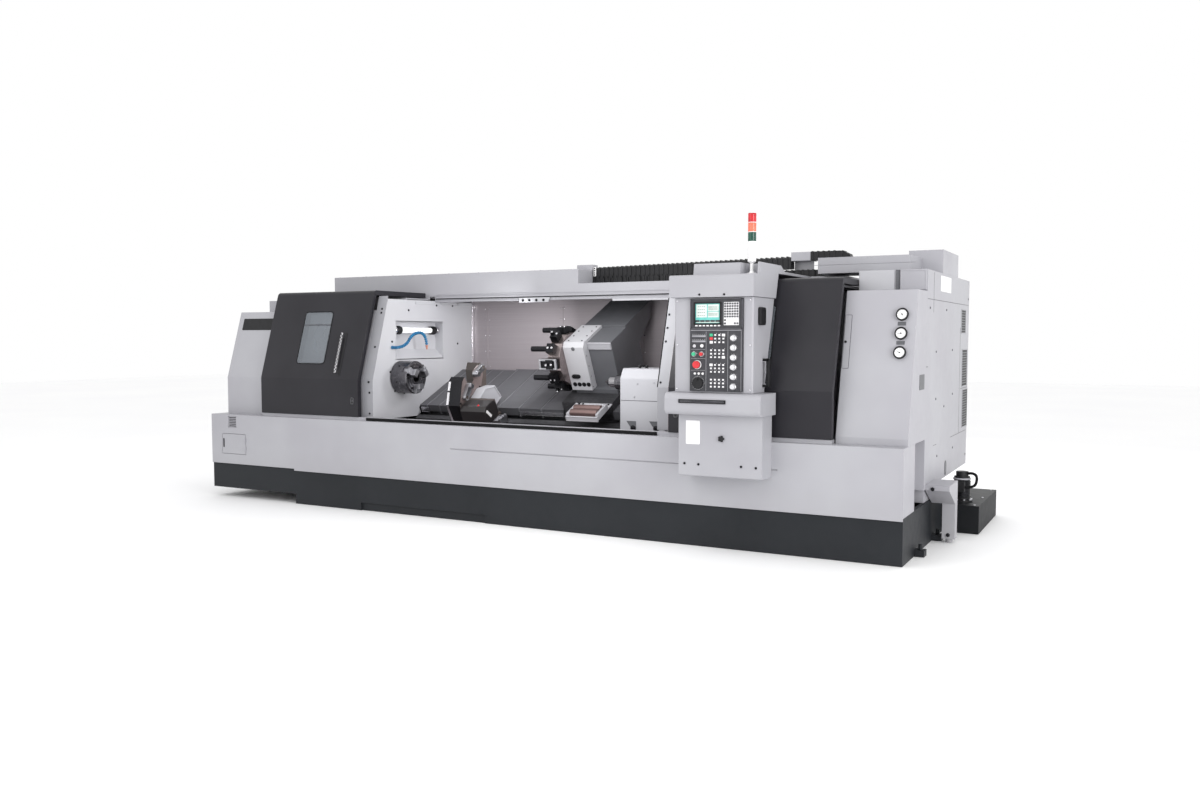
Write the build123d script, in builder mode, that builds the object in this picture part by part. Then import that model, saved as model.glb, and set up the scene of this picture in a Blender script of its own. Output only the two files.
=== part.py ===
# CNC turning lathe with a slanted bed, two wrap-over sliding doors and a standing console.
# Millimetres. +X runs along the spindle to the right, the operator stands at -Y and +Z is up.
# The origin is on the floor, under the middle of the base.

import os
from math import atan2, cos, radians, sin, tan

from build123d import *

os.makedirs("parts", exist_ok=True)

# Whole machine
LEFT_LENGTH = 1950  # left end to the face of the headstock wall
WORK_LENGTH = 2940  # clear length between the two inner walls
RIGHT_LENGTH = 1810  # right inner wall to the right end
BASE_DEPTH = 1480
BASE_HEIGHT = 330
PANEL_HEIGHT = 480
BODY_DEPTH = 1960  # front face to the back panel
SHEET = 12  # folded sheet with its stiffening
OVERRUN = 5  # how far a cut runs past its face
RUNNING_GAP = 0.5  # between flat faces that slide
FIT = 0.05  # radial play of a shaft in its bore

# Base
BASE_SETBACK = 14
BASE_WALL = 30
STEP_LENGTH = 1098  # left stretch whose underside is raised
STEP_HEIGHT = 90
TOE_START = 1900
TOE_LENGTH = 1361
TOE_HEIGHT = 70
TOE_DEPTH = 18
LUG_LENGTH = 70
LUG_WIDTH = 90
LUG_HEIGHT = 45
LUG_BOLT_RADIUS = 14
LUG_BOLT_RISE = 40
END_LUGS_BACK = (400, 1060)  # behind the front face, at the right end
REAR_LUG_SHARES = (0.24, 0.4, 0.56)  # along the length

# Lower front panel
SILL_DEPTH = 150
DRIP_HEIGHT = 18
RIGHT_RETURN = 375
RECESS_INSET = 100  # recessed plate between the panel's return and the electrical cabinet
GROOVE_START = 2916
GROOVE_LENGTH = 2897
GROOVE_BOTTOM = 278  # above the base
GROOVE_HEIGHT = 8
GROOVE_DEPTH = 6
VENT_START = 231
VENT_SIZE = 110
VENT_BOTTOM = 355  # above the base
VENT_DEPTH = 8
ACCESS_START = 142
ACCESS_WIDTH = 325
ACCESS_BOTTOM = 95  # above the base
ACCESS_HEIGHT = 200
ACCESS_GAP = 2
ACCESS_HINGE_RADIUS = 6
ACCESS_KNUCKLE = 40

# Wrap-over front: upright, then leaning back, then the roof
DOOR_SET = 57  # behind the front face
DOOR_LEAN = 243
KINK_HEIGHT = 1180
ROOF_HEIGHT = 1995
ROOF_REACH = 1049  # behind the front face
BROW_RADIUS = 45
DOOR_SHEET = 28
DOOR_FRAME = 45  # depth of the frame at each end
DOOR_FRAME_WIDTH = 32
LEFT_DOOR_WIDTH = 1210
LEFT_DOOR_PARK = 110  # open door's edge to the headstock wall's face
RIGHT_DOOR_WIDTH = 1262
CABINET_GAP = 8
INNER_DOOR_INSET = 52
INNER_DOOR_SHEET = 18
INNER_DOOR_WIDTH = 720
INNER_DOOR_PARK = 20  # behind the edge of the open right door
RAIL_HEIGHT = 29.5
RAIL_WIDTH = 12
RAIL_INSET = 8  # from the face of the door that runs on it
WINDOW_WIDTH = 340
WINDOW_HEIGHT = 500
WINDOW_ROUND = 28
WINDOW_RISE = 395  # window centre above the kink, along the lean
WINDOW_LEDGE = 16
WINDOW_FROM_EDGE = 615  # window centre to the closing edge
GLASS_DEPTH = 10
GLASS_GAP = 0.3
HANDLE_INSET = 265  # from the closing edge
HANDLE_LENGTH = 380
HANDLE_RISE = 245  # centre above the kink, along the lean
HANDLE_WIDTH = 24
HANDLE_DEPTH = 14
HANDLE_STAND = 14
HANDLE_FOOT = 40

# Covers behind the doors
JAMB_INSET = 78
JAMB_WIDTH = 70
END_COVER_START = 85
END_COVER_TOP = 1812
END_COVER_STEP = 700  # behind the front face, where the roof steps up
END_COVER_HIGH = 1938
UPPER_BASE = 1960
UPPER_FRONT = 1060  # behind the front face
UPPER_START = 650
UPPER_STEP_SHARE = 0.55  # of the work length, where the upper cover steps down
UPPER_TOP = 2180
UPPER_LOW_TOP = 2050
UPPER_END = 700  # from the right end
RAIL_BEAM_DEPTH = 40
RAIL_BEAM_HEIGHT = 55
BAR_HOLE_RADIUS = 65
REAR_WALL_BACK = 1713  # behind the front face
TRAY_FRONT = 90
TRAY_HEIGHT = 600
LAMP_BAY_BACK = 470
LAMP_BAY_LENGTH = 705
LAMP_BAY_BOTTOM = 1365
LAMP_BAY_HEIGHT = 340
LAMP_BAY_DEPTH = 90
LAMP_SILL_RISE = 85
LAMP_RADIUS = 26
LAMP_CLAMP_SIZE = 68
LAMP_CLAMP_LENGTH = 95
LAMP_HEIGHT = 1630
LAMP_END_GAP = 12

# Coolant hose of ball segments on the headstock wall
HOSE_RADIUS = 13
HOSE_STAND = 45  # in front of the wall
HOSE_STUB_RADIUS = 17
HOSE_BEND = 14
HOSE_ROUND = 100  # of its bends
HOSE_POINTS = (  # behind the front face, and height
    (409, 1468),
    (545, 1468),
    (655, 1606),
    (866, 1606),
    (866, 1450),
)

# Slanted bed, measured along the slope and square to it from the spindle axis
SPINDLE_BACK = 520
SPINDLE_HEIGHT = 1190
SLANT = radians(25)
BED_START = 1250
BED_END = 1100  # from the right end
BED_FRONT_ALONG = -230
BED_REAR_ALONG = 960
BED_PLANE = -490
BED_BACK = 1440  # behind the front face
BED_FOOT = 330
BED_LIP = 200
BED_WALL = 60
CARRIAGE_WAYS = ((190, 280), (780, 870))
CARRIAGE_WAY_TOP = -400
LOWER_WAYS = ((-200, -130), (20, 90))
LOWER_WAY_TOP = -450
WALL_FOOT_LOW = -447
WALL_FOOT_HIGH = -385
WALL_STEP_ALONG = 125
WALL_END_ALONG = 932

# Telescopic way covers
COVER_SHEET = 4
COVER_FRONT_ALONG = 137
COVER_REAR_ALONG = 918
COVER_TOP = -366
COVER_NEST = 8
COVER_SKIRT = -440
FIXED_LEFT_COVER = 1030
FIXED_RIGHT_COVER = 490
MOVING_LEFT_COVER = 940
MOVING_RIGHT_COVER = 500

# Headstock, spindle and drive
HEADSTOCK_LENGTH = 560
HEADSTOCK_FRONT_ALONG = -250
HEADSTOCK_REAR_ALONG = 400
HEADSTOCK_TOP = 230
HEADSTOCK_ROUND = 25
BEARING_RADIUS = 130
BEARING_WIDTH = 80
BEARING_INSET = 12
SPINDLE_RADIUS = 85
SPINDLE_BORE = 46
SPINDLE_TAIL = 25  # past the pulley
NOSE_RADIUS = 105
NOSE_HOLE_RADIUS = 120
PULLEY_WIDTH = 80
PULLEY_GAP = 20  # to the headstock
SPINDLE_PULLEY_RADIUS = 160
MOTOR_PULLEY_RADIUS = 110
BELT_THICKNESS = 12
BELT_MARGIN = 5
BELT_GAP = 0.3
MOTOR_BACK = 1000
MOTOR_HEIGHT = 640
MOTOR_SIZE = 380
MOTOR_LENGTH = 660
MOTOR_ROUND = 40
MOTOR_GAP = 70  # to the pulley
MOTOR_FOOT = 300
MOTOR_SHAFT_RADIUS = 30
MOTOR_BORE_DEPTH = 100

# Chuck
CHUCK_GAP = 3  # to the headstock wall
CHUCK_RADIUS = 152.5
CHUCK_LENGTH = 187
CHUCK_CHAMFER = 8
JAW_ANGLES = (-90, 30, 150)
SLOT_WIDTH = 40
SLOT_DEPTH = 45
SLOT_INNER = 52
JAW_GAP = 0.4
JAW_INNER = 60
JAW_OUTER = 142
JAW_WIDTH = 62
JAW_BASE_HEIGHT = 26
JAW_STEP_SHARE = 0.55  # of the jaw's radial length, kept by the tall step
JAW_HEIGHT = 66

# Carriage and turret
SADDLE_SHARE = 0.5476  # of the work length, to the saddle's left edge
SADDLE_LENGTH = 500
SADDLE_FRONT_ALONG = 150
SADDLE_REAR_ALONG = 905
SADDLE_TOP = -290
SLIDE_INSET = 60
SLIDE_LENGTH = 420
SLIDE_FRONT_ALONG = 330
SLIDE_REAR_ALONG = 900
SLIDE_SLAB_TOP = -250
TOWER_FRONT_ALONG = 700
TOWER_REAR_ALONG = 1290
TOWER_TOP = 200
TOWER_LIP_ALONG = 1200
TOWER_NECK = -60
TOWER_LIP = 60
SHROUD_FRONT_ALONG = 390  # beside the turret housing
SHROUD_TOP = 179
TURRET_START = 40  # from the saddle's left edge
TURRET_LENGTH = 205
TURRET_FRONT_ALONG = 305
TURRET_TOP = 205
TURRET_CHAMFER = 36
DISC_ALONG = 430
DISC_RADIUS = 235
DISC_THICKNESS = 118
DISC_GAP = 2
DISC_SHAFT_RADIUS = 60
DISC_SHAFT_LENGTH = 100
STATIONS = 12
TOOL_HEIGHT = 62
TOOL_WIDTH = 84
TOOL_LENGTH = 70
TOOL_INSET = 5
BIT_SIZE = 26
BIT_HEIGHT = 20
BAR_LENGTH = 165
BAR_RADIUS = 24

# Tailstock
TAILSTOCK_FROM_WALL = 540
TAILSTOCK_LENGTH = 400
TAILSTOCK_FRONT = 380  # behind the front face
TAILSTOCK_TOP = 1310
TAILSTOCK_BACK = 850
TAILSTOCK_SHOULDER = 1180
TAILSTOCK_BROW = 80
TAILSTOCK_BROW_DEPTH = 50
TAILSTOCK_ROOF_BACK = 760
TAILSTOCK_TOE = 770
TAILSTOCK_FOOT_FRONT = -210
TAILSTOCK_FOOT_REAR = 125
TAILSTOCK_HEEL = -340
TAILSTOCK_ROUND = 30
TAILSTOCK_ROUNDED = (2, 3, 4, 5)  # corners of its outline
QUILL_RADIUS = 60
QUILL_REACH = 100
QUILL_LENGTH = 350
QUILL_BORE = 300
CENTRE_RADIUS = 44
CENTRE_LENGTH = 60
CENTRE_TIP = 55
CENTRE_POINT_RADIUS = 2
CENTRE_SHANK_RADIUS = 20
CENTRE_SHANK = 60
CENTRE_GAP = 0.4

# Steady rest
STEADY_SHARE = 0.21  # of the work length, to its left face
STEADY_THICKNESS = 140
STEADY_BASE_LENGTH = 330
STEADY_BASE_TOP = -395
STEADY_FOOT_FRONT = -215
STEADY_FOOT_REAR = 120
STEADY_PLATE_INSET = 40
STEADY_OUTLINE = (  # along the slope and square to it
    (-215, -395),
    (-238, -148),
    (-165, -50),
    (-118, -96),
    (0, -152),
    (120, -92),
    (152, 12),
    (205, 60),
    (272, -30),
    (106, -395),
)
STEADY_BOX_ALONG = (-250, -60)
STEADY_BOX_ABOVE = (-330, -165)
STEADY_BOX_LENGTH = 260
STEADY_BOX_CHAMFER = 35
ARM_THICKNESS = 36
ARM_GAP = 2
ARM_WIDTH = 58
ARM_LENGTH = 112
ARM_PIN_RADIUS = 16
ARM_PIVOTS = ((-150, -110), (190, 20))
ARM_TURNS = (36, 186)  # degrees towards the axis, from the slope's own direction
ROLLER_RADIUS = 24
ROLLER_LENGTH = 20

# Console
CONSOLE_START = 1595  # housing's left side, from the right end
CONSOLE_WIDTH = 600
CONSOLE_FRONT = 222  # in front of the front face
CONSOLE_BOTTOM = 1167
CONSOLE_TOP = 1844
CONSOLE_GAP = 2
CONSOLE_DOOR_GAP = 40
CONSOLE_ROUND = 14
CONSOLE_HINGE_INSET = 28
CONSOLE_HINGE_FRONT = 25  # pivot in front of the front face
CONSOLE_PIN_RADIUS = 12
CONSOLE_PIN_LENGTH = 36
HOOD_SIDE = 30  # wider than the housing on the left
HOOD_RIGHT_SIDE = 12
HOOD_FRONT = 258
HOOD_LIP = 160
HOOD_CROWN = 246
HOOD_CROWN_BACK = 330
HOOD_TAIL = 420
HOOD_PLATE = 20
HOOD_CLEAR = 35
HOOD_ROUND = 20
HOOD_LEDGE = 110  # flat behind the lip, in front of the raised box
HOOD_BOX_SIDE = 142  # from the hood's left side to the raised box
HOOD_BOX_LEAN = 14
HOOD_POCKET_WIDTH = 128  # for the signal light
HOOD_POCKET_DEPTH = 190
HOOD_FIN = 14
SHELF_SIDE = 45
SHELF_RIGHT_SIDE = 85
SHELF_FRONT = 300
SHELF_BACK = 22
SHELF_HEIGHT = 158
SHELF_ROUND = 45
STAND_SIDE = 25
STAND_RIGHT_SIDE = 65
STAND_FRONT = 200
STAND_BOTTOM = 557
STAND_ROUND = 12
GRIP_WIDTH = 22
GRIP_LENGTH = 200
GRIP_STAND = 52
GRIP_HEIGHT = 1308
GRIP_FRONT = 30

# Control panel on the housing's front
FACE_INSET = 127  # from the housing's left side
FACE_WIDTH = 398
FACE_BOTTOM = 10  # above the housing's underside
FACE_HEIGHT = 660
FACE_THICKNESS = 14
FACE_PROUD = 5
SCREEN_SHARES = (0.10, 0.57, 0.735, 0.945)  # left, right, bottom and top of the screen on the panel
SCREEN_DEPTH = 4
KNOB_ACROSS_SHARE = 0.833
KNOB_LOW_SHARE = 0.055
KNOB_HIGH_SHARE = 0.575
KNOBS = 6
KNOB_RADIUS = 17
KNOB_HEIGHT = 20
STOP_ACROSS_SHARE = 0.143
STOP_UP_SHARE = 0.287
STOP_RADIUS = 27
STOP_HEIGHT = 16
STOP_STAND = 14
STEM_RADIUS = 11
STEM_INSET = 5
WHEEL_ACROSS_SHARE = 0.161
WHEEL_UP_SHARE = 0.088
WHEEL_RADIUS = 40
WHEEL_HEIGHT = 18
WHEEL_STAND = 2
CRANK_RADIUS = 7
CRANK_OFFSET = 27
CRANK_HEIGHT = 16
BUTTON_ACROSS_SHARES = {"cycle_start_button": 0.078, "feed_hold_button": 0.226}
BUTTON_UP_SHARE = 0.402
BUTTON_RADIUS = 13
BUTTON_HEIGHT = 10
BUTTON_STAND = 7

# Signal light on the hood
LIGHT_INSET = 63  # from the pocket's right side
LIGHT_BACK = 62  # from the raised box's front
LIGHT_FOOT_RADIUS = 34
LIGHT_FOOT = 12
LIGHT_STEM_RADIUS = 13
LIGHT_STEM = 76
LIGHT_RADIUS = 30
LIGHT_BODY = 147
LENS_HEIGHT = 67
LENS_GROOVE = 4
LENS_GROOVE_DEPTH = 3
LENSES = 3

# Right end
CABINET_WIDTH = 502
CABINET_FOOT = 130  # behind the front face
CABINET_LEDGE = 50
CABINET_LEAN = 253
CABINET_TOP = 1899
CABINET_BACK = 713
GAUGE_INSET = 95  # from the right end
GAUGE_HEIGHTS = (1456, 1590, 1723)
GAUGE_RADIUS = 42
GAUGE_DEPTH = 24
ELECTRIC_WIDTH = 450
ELECTRIC_BOTTOM = 432
ELECTRIC_TOP = 2060
ELECTRIC_BACK = 2613
ELECTRIC_PLINTH_INSET = 60
ELECTRIC_PLINTH_SET = 10  # from the right end
ELECTRIC_DOOR_INSET = 40
ELECTRIC_DOOR_GAP = 3
ELECTRIC_HINGE_RADIUS = 9
ELECTRIC_HINGE_LENGTH = 90
ROOF_UNIT_LENGTH = 874  # from the right end
ROOF_UNIT_RIGHT = 162
ROOF_UNIT_FRONT = 900
ROOF_UNIT_DEPTH = 410
ROOF_UNIT_HEIGHT = 124
ROOF_BOX_WIDTH = 262
ROOF_BOX_FRONT = 1310
ROOF_BOX_DEPTH = 690
ROOF_BOX_HEIGHT = 185
TANK_PROUD = 281  # past the right end
TANK_LENGTH = 2380
TANK_DEPTH = 1015
TANK_HEIGHT = 224
TANK_LID = 10
PUMP_OUT = 115  # pump axis past the right end
PUMP_BACK = 1700
PUMP_RADIUS = 62
PUMP_HEIGHT = 190
PUMP_FLANGE_RADIUS = 85
PUMP_FLANGE = 16
PUMP_CAP_RADIUS = 48
PUMP_CAP = 40
PUMP_BOX = 60
LEG_OUT = 80  # leg's near face past the right end
LEG_SIZE = 95
LEG_BACK = 1020
LEG_TOP = 300
LEG_FOOT_RADIUS = 26
LEG_FOOT = 30
LEG_ARM_FRONT = 760
LEG_ARM_TOP = 470
LEG_ARM_THICKNESS = 40

# Cable chain on the upper cover
CHAIN_BACK = 1330
CHAIN_WIDTH = 100
CHAIN_HEIGHT = 72
CHAIN_BEND = 39  # radius of the bend's inner side
CHAIN_PITCH = 62
CHAIN_NOTCH = 10
CHAIN_NOTCH_DEPTH = 10
CHAIN_FROM_RIGHT = 824  # centre of the bend, from the right end
CHAIN_UPPER_RUN = 242
CHAIN_POST_WIDTH = 165
CHAIN_POST_RISE = 55

# Places worked out from the sizes above
LENGTH = LEFT_LENGTH + WORK_LENGTH + RIGHT_LENGTH
LEFT = -LENGTH / 2
RIGHT = LENGTH / 2
FRONT = -BASE_DEPTH / 2
BACK = BASE_DEPTH / 2
BODY_Y = FRONT + BODY_DEPTH
PANEL_TOP = BASE_HEIGHT + PANEL_HEIGHT
WALL_X = LEFT + LEFT_LENGTH
RIGHT_WALL_X = RIGHT - RIGHT_LENGTH
STEP_X = LEFT + STEP_LENGTH
AXIS_Y = FRONT + SPINDLE_BACK
AXIS_Z = SPINDLE_HEIGHT
AXIS = (AXIS_Y, AXIS_Z)
REAR_WALL_Y = FRONT + REAR_WALL_BACK
DOOR_Y = FRONT + DOOR_SET
DOOR_LOW = PANEL_TOP + RAIL_HEIGHT + RUNNING_GAP
ROOF_Y = FRONT + ROOF_REACH
LEAN = atan2(DOOR_LEAN, ROOF_HEIGHT - KINK_HEIGHT)
BED_X0 = LEFT + BED_START
BED_X1 = RIGHT - BED_END


def block(x0, x1, y0, y1, z0, z1, mode=Mode.ADD):
    # Box between two opposite corners
    with Locations(((x0 + x1) / 2, (y0 + y1) / 2, (z0 + z1) / 2)):
        Box(x1 - x0, y1 - y0, z1 - z0, mode=mode)


def prism(points, x0, x1, mode=Mode.ADD, rounds=(), inset=0):
    # Outline in Y and Z, drawn out along X from x0 to x1
    with BuildSketch(Plane.YZ.offset(x0)) as outline:
        with BuildLine():
            Polyline(*points, close=True)
        make_face()
        for corner, radius in rounds:
            fillet(outline.vertices().sort_by_distance((*corner, 0))[0], radius)
        if inset:
            offset(amount=-inset, kind=Kind.INTERSECTION, mode=Mode.REPLACE)
    extrude(outline.sketch, x1 - x0, mode=mode)


def rod(x0, x1, centre, radius, mode=Mode.ADD):
    # Round bar along X about a centre in Y and Z
    with BuildSketch(Plane.YZ.offset(x0)) as section:
        with Locations(centre):
            Circle(radius)
    extrude(section.sketch, x1 - x0, mode=mode)


def post(x, y, z0, z1, radius, mode=Mode.ADD):
    # Upright round bar
    with BuildSketch(Plane.XY.offset(z0)) as section:
        with Locations((x, y)):
            Circle(radius)
    extrude(section.sketch, z1 - z0, mode=mode)


def slant(along, above):
    # Point in Y and Z, along the slope and square to it from the spindle axis
    return (
        AXIS_Y + along * cos(SLANT) - above * sin(SLANT),
        AXIS_Z + along * sin(SLANT) + above * cos(SLANT),
    )


def slant_block(x0, x1, along0, along1, above0, above1, mode=Mode.ADD):
    # Box square to the slope
    corners = [(along0, above0), (along1, above0), (along1, above1), (along0, above1)]
    prism([slant(*corner) for corner in corners], x0, x1, mode)


def wrap_line(inset, low, reach):
    # Foot, kink, brow and back edge of the wrap-over front, moved inwards by inset
    brow = inset * cos(LEAN) / (1 + sin(LEAN))
    return [
        (DOOR_Y + inset, low),
        (DOOR_Y + inset, KINK_HEIGHT - inset * tan(LEAN / 2)),
        (DOOR_Y + DOOR_LEAN + brow, ROOF_HEIGHT - inset),
        (reach, ROOF_HEIGHT - inset),
    ]


def wrap_at(inset, height):
    # Y of the leaning stretch at a height, moved inwards by inset
    return DOOR_Y + inset / cos(LEAN) + (height - KINK_HEIGHT) * tan(LEAN)


def wrap_sheet(x0, x1, inset, thickness, low, reach):
    # Sheet that follows the wrap-over front
    outer = wrap_line(inset, low, reach)
    inner = wrap_line(inset + thickness, low, reach)
    prism(outer + inner[::-1], x0, x1, rounds=((outer[2], BROW_RADIUS),))


def lean_plane(x, rise, inset=0):
    # Plane on the leaning stretch, its own y running up the lean and its normal facing out
    return Plane(
        origin=(
            x,
            DOOR_Y + rise * sin(LEAN) + inset * cos(LEAN),
            KINK_HEIGHT + rise * cos(LEAN) - inset * sin(LEAN),
        ),
        x_dir=(1, 0, 0),
        z_dir=(0, -cos(LEAN), sin(LEAN)),
    )


# Outline of the two inner walls: the wrap-over front, the back wall, and the covers on the bed
foot_along = (PANEL_TOP - AXIS_Z - WALL_FOOT_LOW * cos(SLANT)) / sin(SLANT)
LEDGE_Y, LEDGE_Z = slant(WALL_END_ALONG, WALL_FOOT_HIGH)
wall_outline = wrap_line(JAMB_INSET, PANEL_TOP, REAR_WALL_Y) + [
    (REAR_WALL_Y, LEDGE_Z),
    (LEDGE_Y, LEDGE_Z),
    slant(WALL_STEP_ALONG, WALL_FOOT_HIGH),
    slant(WALL_STEP_ALONG, WALL_FOOT_LOW),
    slant(foot_along, WALL_FOOT_LOW),
]

# Base: an open welded tray with two long ribs under the bed
BASE_FRONT = FRONT + BASE_SETBACK
bed_front_y = slant(BED_FRONT_ALONG, BED_PLANE)[0]
bed_back_y = FRONT + BED_BACK
base_bays = (
    (BASE_FRONT + BASE_WALL, bed_front_y),
    (bed_front_y + BED_WALL, bed_back_y - BED_WALL),
)
with BuildPart() as base_plinth:
    block(LEFT, RIGHT, BASE_FRONT, BACK, 0, BASE_HEIGHT)
    block(LEFT - OVERRUN, STEP_X, BASE_FRONT - OVERRUN, BACK + OVERRUN, -OVERRUN, STEP_HEIGHT, Mode.SUBTRACT)
    toe_x = LEFT + TOE_START
    toe_y = BASE_FRONT + TOE_DEPTH
    block(toe_x, toe_x + TOE_LENGTH, BASE_FRONT - OVERRUN, toe_y, -OVERRUN, TOE_HEIGHT, Mode.SUBTRACT)
    for bay_y0, bay_y1 in base_bays:
        bay_top = BASE_HEIGHT + OVERRUN
        block(LEFT + BASE_WALL, STEP_X, bay_y0, bay_y1, STEP_HEIGHT + BASE_WALL, bay_top, Mode.SUBTRACT)
        block(STEP_X + BASE_WALL, RIGHT - BASE_WALL, bay_y0, bay_y1, BASE_WALL, bay_top, Mode.SUBTRACT)
base_plinth.part.label = "base_plinth"
export_step(base_plinth.part, "parts/base_plinth.step")

# Levelling lugs: two at the right end and three along the back, each with its jack bolt
with BuildPart() as levelling_feet:
    for lug_back in END_LUGS_BACK:
        lug_y = FRONT + lug_back
        block(RIGHT, RIGHT + LUG_LENGTH, lug_y, lug_y + LUG_WIDTH, 0, LUG_HEIGHT)
        bolt_top = LUG_HEIGHT + LUG_BOLT_RISE
        post(RIGHT + LUG_LENGTH / 2, lug_y + LUG_WIDTH / 2, LUG_HEIGHT, bolt_top, LUG_BOLT_RADIUS)
    for lug_share in REAR_LUG_SHARES:
        lug_x = LEFT + lug_share * LENGTH
        block(lug_x, lug_x + LUG_WIDTH, BACK, BACK + LUG_LENGTH, 0, LUG_HEIGHT)
        bolt_top = LUG_HEIGHT + LUG_BOLT_RISE
        post(lug_x + LUG_WIDTH / 2, BACK + LUG_LENGTH / 2, LUG_HEIGHT, bolt_top, LUG_BOLT_RADIUS)
levelling_feet.part.label = "levelling_feet"
export_step(levelling_feet.part, "parts/levelling_feet.step")

# Lower front panel with its sill, door rails, drip edge and returns
left_door_x1 = WALL_X - LEFT_DOOR_PARK
left_door_x0 = left_door_x1 - LEFT_DOOR_WIDTH
right_door_x1 = RIGHT - CABINET_WIDTH - CABINET_GAP
right_door_x0 = right_door_x1 - RIGHT_DOOR_WIDTH
inner_door_x1 = right_door_x1 - INNER_DOOR_PARK
inner_door_x0 = inner_door_x1 - INNER_DOOR_WIDTH
access_x0 = LEFT + ACCESS_START
access_x1 = access_x0 + ACCESS_WIDTH
access_z0 = BASE_HEIGHT + ACCESS_BOTTOM
access_z1 = access_z0 + ACCESS_HEIGHT
with BuildPart() as lower_front_panel:
    block(LEFT, RIGHT, FRONT, FRONT + SHEET, BASE_HEIGHT, PANEL_TOP)
    block(STEP_X, RIGHT, FRONT, FRONT + SHEET, BASE_HEIGHT - DRIP_HEIGHT, BASE_HEIGHT)
    block(LEFT, RIGHT, FRONT, BASE_FRONT + BASE_WALL, BASE_HEIGHT, BASE_HEIGHT + SHEET)
    block(LEFT, RIGHT, FRONT, FRONT + SILL_DEPTH, PANEL_TOP - SHEET, PANEL_TOP)
    block(LEFT, LEFT + SHEET, FRONT, BODY_Y, BASE_HEIGHT, PANEL_TOP)
    left_sill_x = LEFT + END_COVER_START + SHEET
    block(LEFT, left_sill_x, FRONT, BODY_Y - SHEET, PANEL_TOP - SHEET, PANEL_TOP)
    return_y = FRONT + RIGHT_RETURN
    recess_x = RIGHT - RECESS_INSET
    block(RIGHT - SHEET, RIGHT, FRONT, return_y, BASE_HEIGHT, PANEL_TOP)
    block(recess_x, RIGHT, return_y - SHEET, return_y, BASE_HEIGHT, PANEL_TOP)
    block(recess_x, recess_x + SHEET, return_y, FRONT + CABINET_BACK, BASE_HEIGHT, PANEL_TOP)
    rail_y = DOOR_Y + RAIL_INSET
    rail_z = PANEL_TOP + RAIL_HEIGHT
    block(left_door_x0, right_door_x1, rail_y, rail_y + RAIL_WIDTH, PANEL_TOP, rail_z)
    inner_rail_y = DOOR_Y + INNER_DOOR_INSET + (INNER_DOOR_SHEET - RAIL_WIDTH) / 2
    block(WALL_X, right_door_x1, inner_rail_y, inner_rail_y + RAIL_WIDTH, PANEL_TOP, rail_z)
    front_cut = FRONT - OVERRUN
    block(access_x0, access_x1, front_cut, FRONT + SHEET + OVERRUN, access_z0, access_z1, Mode.SUBTRACT)
    vent_x = LEFT + VENT_START
    vent_z = BASE_HEIGHT + VENT_BOTTOM
    block(vent_x, vent_x + VENT_SIZE, front_cut, FRONT + VENT_DEPTH, vent_z, vent_z + VENT_SIZE, Mode.SUBTRACT)
    groove_x = LEFT + GROOVE_START
    groove_z = BASE_HEIGHT + GROOVE_BOTTOM
    groove_end = groove_x + GROOVE_LENGTH
    block(groove_x, groove_end, front_cut, FRONT + GROOVE_DEPTH, groove_z, groove_z + GROOVE_HEIGHT, Mode.SUBTRACT)
lower_front_panel.part.label = "lower_front_panel"
export_step(lower_front_panel.part, "parts/lower_front_panel.step")

# Access door in the lower panel, hinged on its right edge
access_hinge_x = access_x1 - ACCESS_GAP
access_hinge_y = FRONT - ACCESS_HINGE_RADIUS
with BuildPart() as access_door:
    door_z0 = access_z0 + ACCESS_GAP
    door_z1 = access_z1 - ACCESS_GAP
    block(access_x0 + ACCESS_GAP, access_hinge_x, FRONT, FRONT + SHEET, door_z0, door_z1)
    for knuckle_z in (door_z0 + ACCESS_KNUCKLE, door_z1 - ACCESS_KNUCKLE - ACCESS_KNUCKLE):
        post(access_hinge_x, access_hinge_y, knuckle_z, knuckle_z + ACCESS_KNUCKLE, ACCESS_HINGE_RADIUS)
        leaf_x = access_hinge_x - 2 * ACCESS_HINGE_RADIUS
        block(leaf_x, access_hinge_x, access_hinge_y, FRONT, knuckle_z, knuckle_z + ACCESS_KNUCKLE)
access_door.part.label = "access_door"
export_step(access_door.part, "parts/access_door.step")

# Left end cover over the headstock, open below and towards the headstock wall
cover_x0 = LEFT + END_COVER_START
cover_x1 = WALL_X - JAMB_WIDTH


def end_cover_outline(inset, low):
    # Section of the left end cover, moved inwards by inset
    step_y = FRONT + END_COVER_STEP + inset
    rear_y = FRONT + UPPER_FRONT + inset
    top = END_COVER_TOP - inset
    high = END_COVER_HIGH - inset
    return wrap_line(JAMB_INSET + inset, low, ROOF_Y)[:2] + [
        (wrap_at(JAMB_INSET + inset, top), top),
        (step_y, top),
        (step_y, high),
        (rear_y, high),
        (rear_y, UPPER_BASE - inset),
        (BODY_Y - inset, UPPER_BASE - inset),
        (BODY_Y - inset, low),
    ]


with BuildPart() as left_end_cover:
    prism(end_cover_outline(0, PANEL_TOP), cover_x0, cover_x1)
    prism(end_cover_outline(SHEET, PANEL_TOP - OVERRUN), cover_x0 + SHEET, cover_x1 + OVERRUN, Mode.SUBTRACT)
    rod(cover_x0 - OVERRUN, cover_x0 + SHEET + OVERRUN, AXIS, BAR_HOLE_RADIUS, Mode.SUBTRACT)
left_end_cover.part.label = "left_end_cover"
export_step(left_end_cover.part, "parts/left_end_cover.step")

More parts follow.
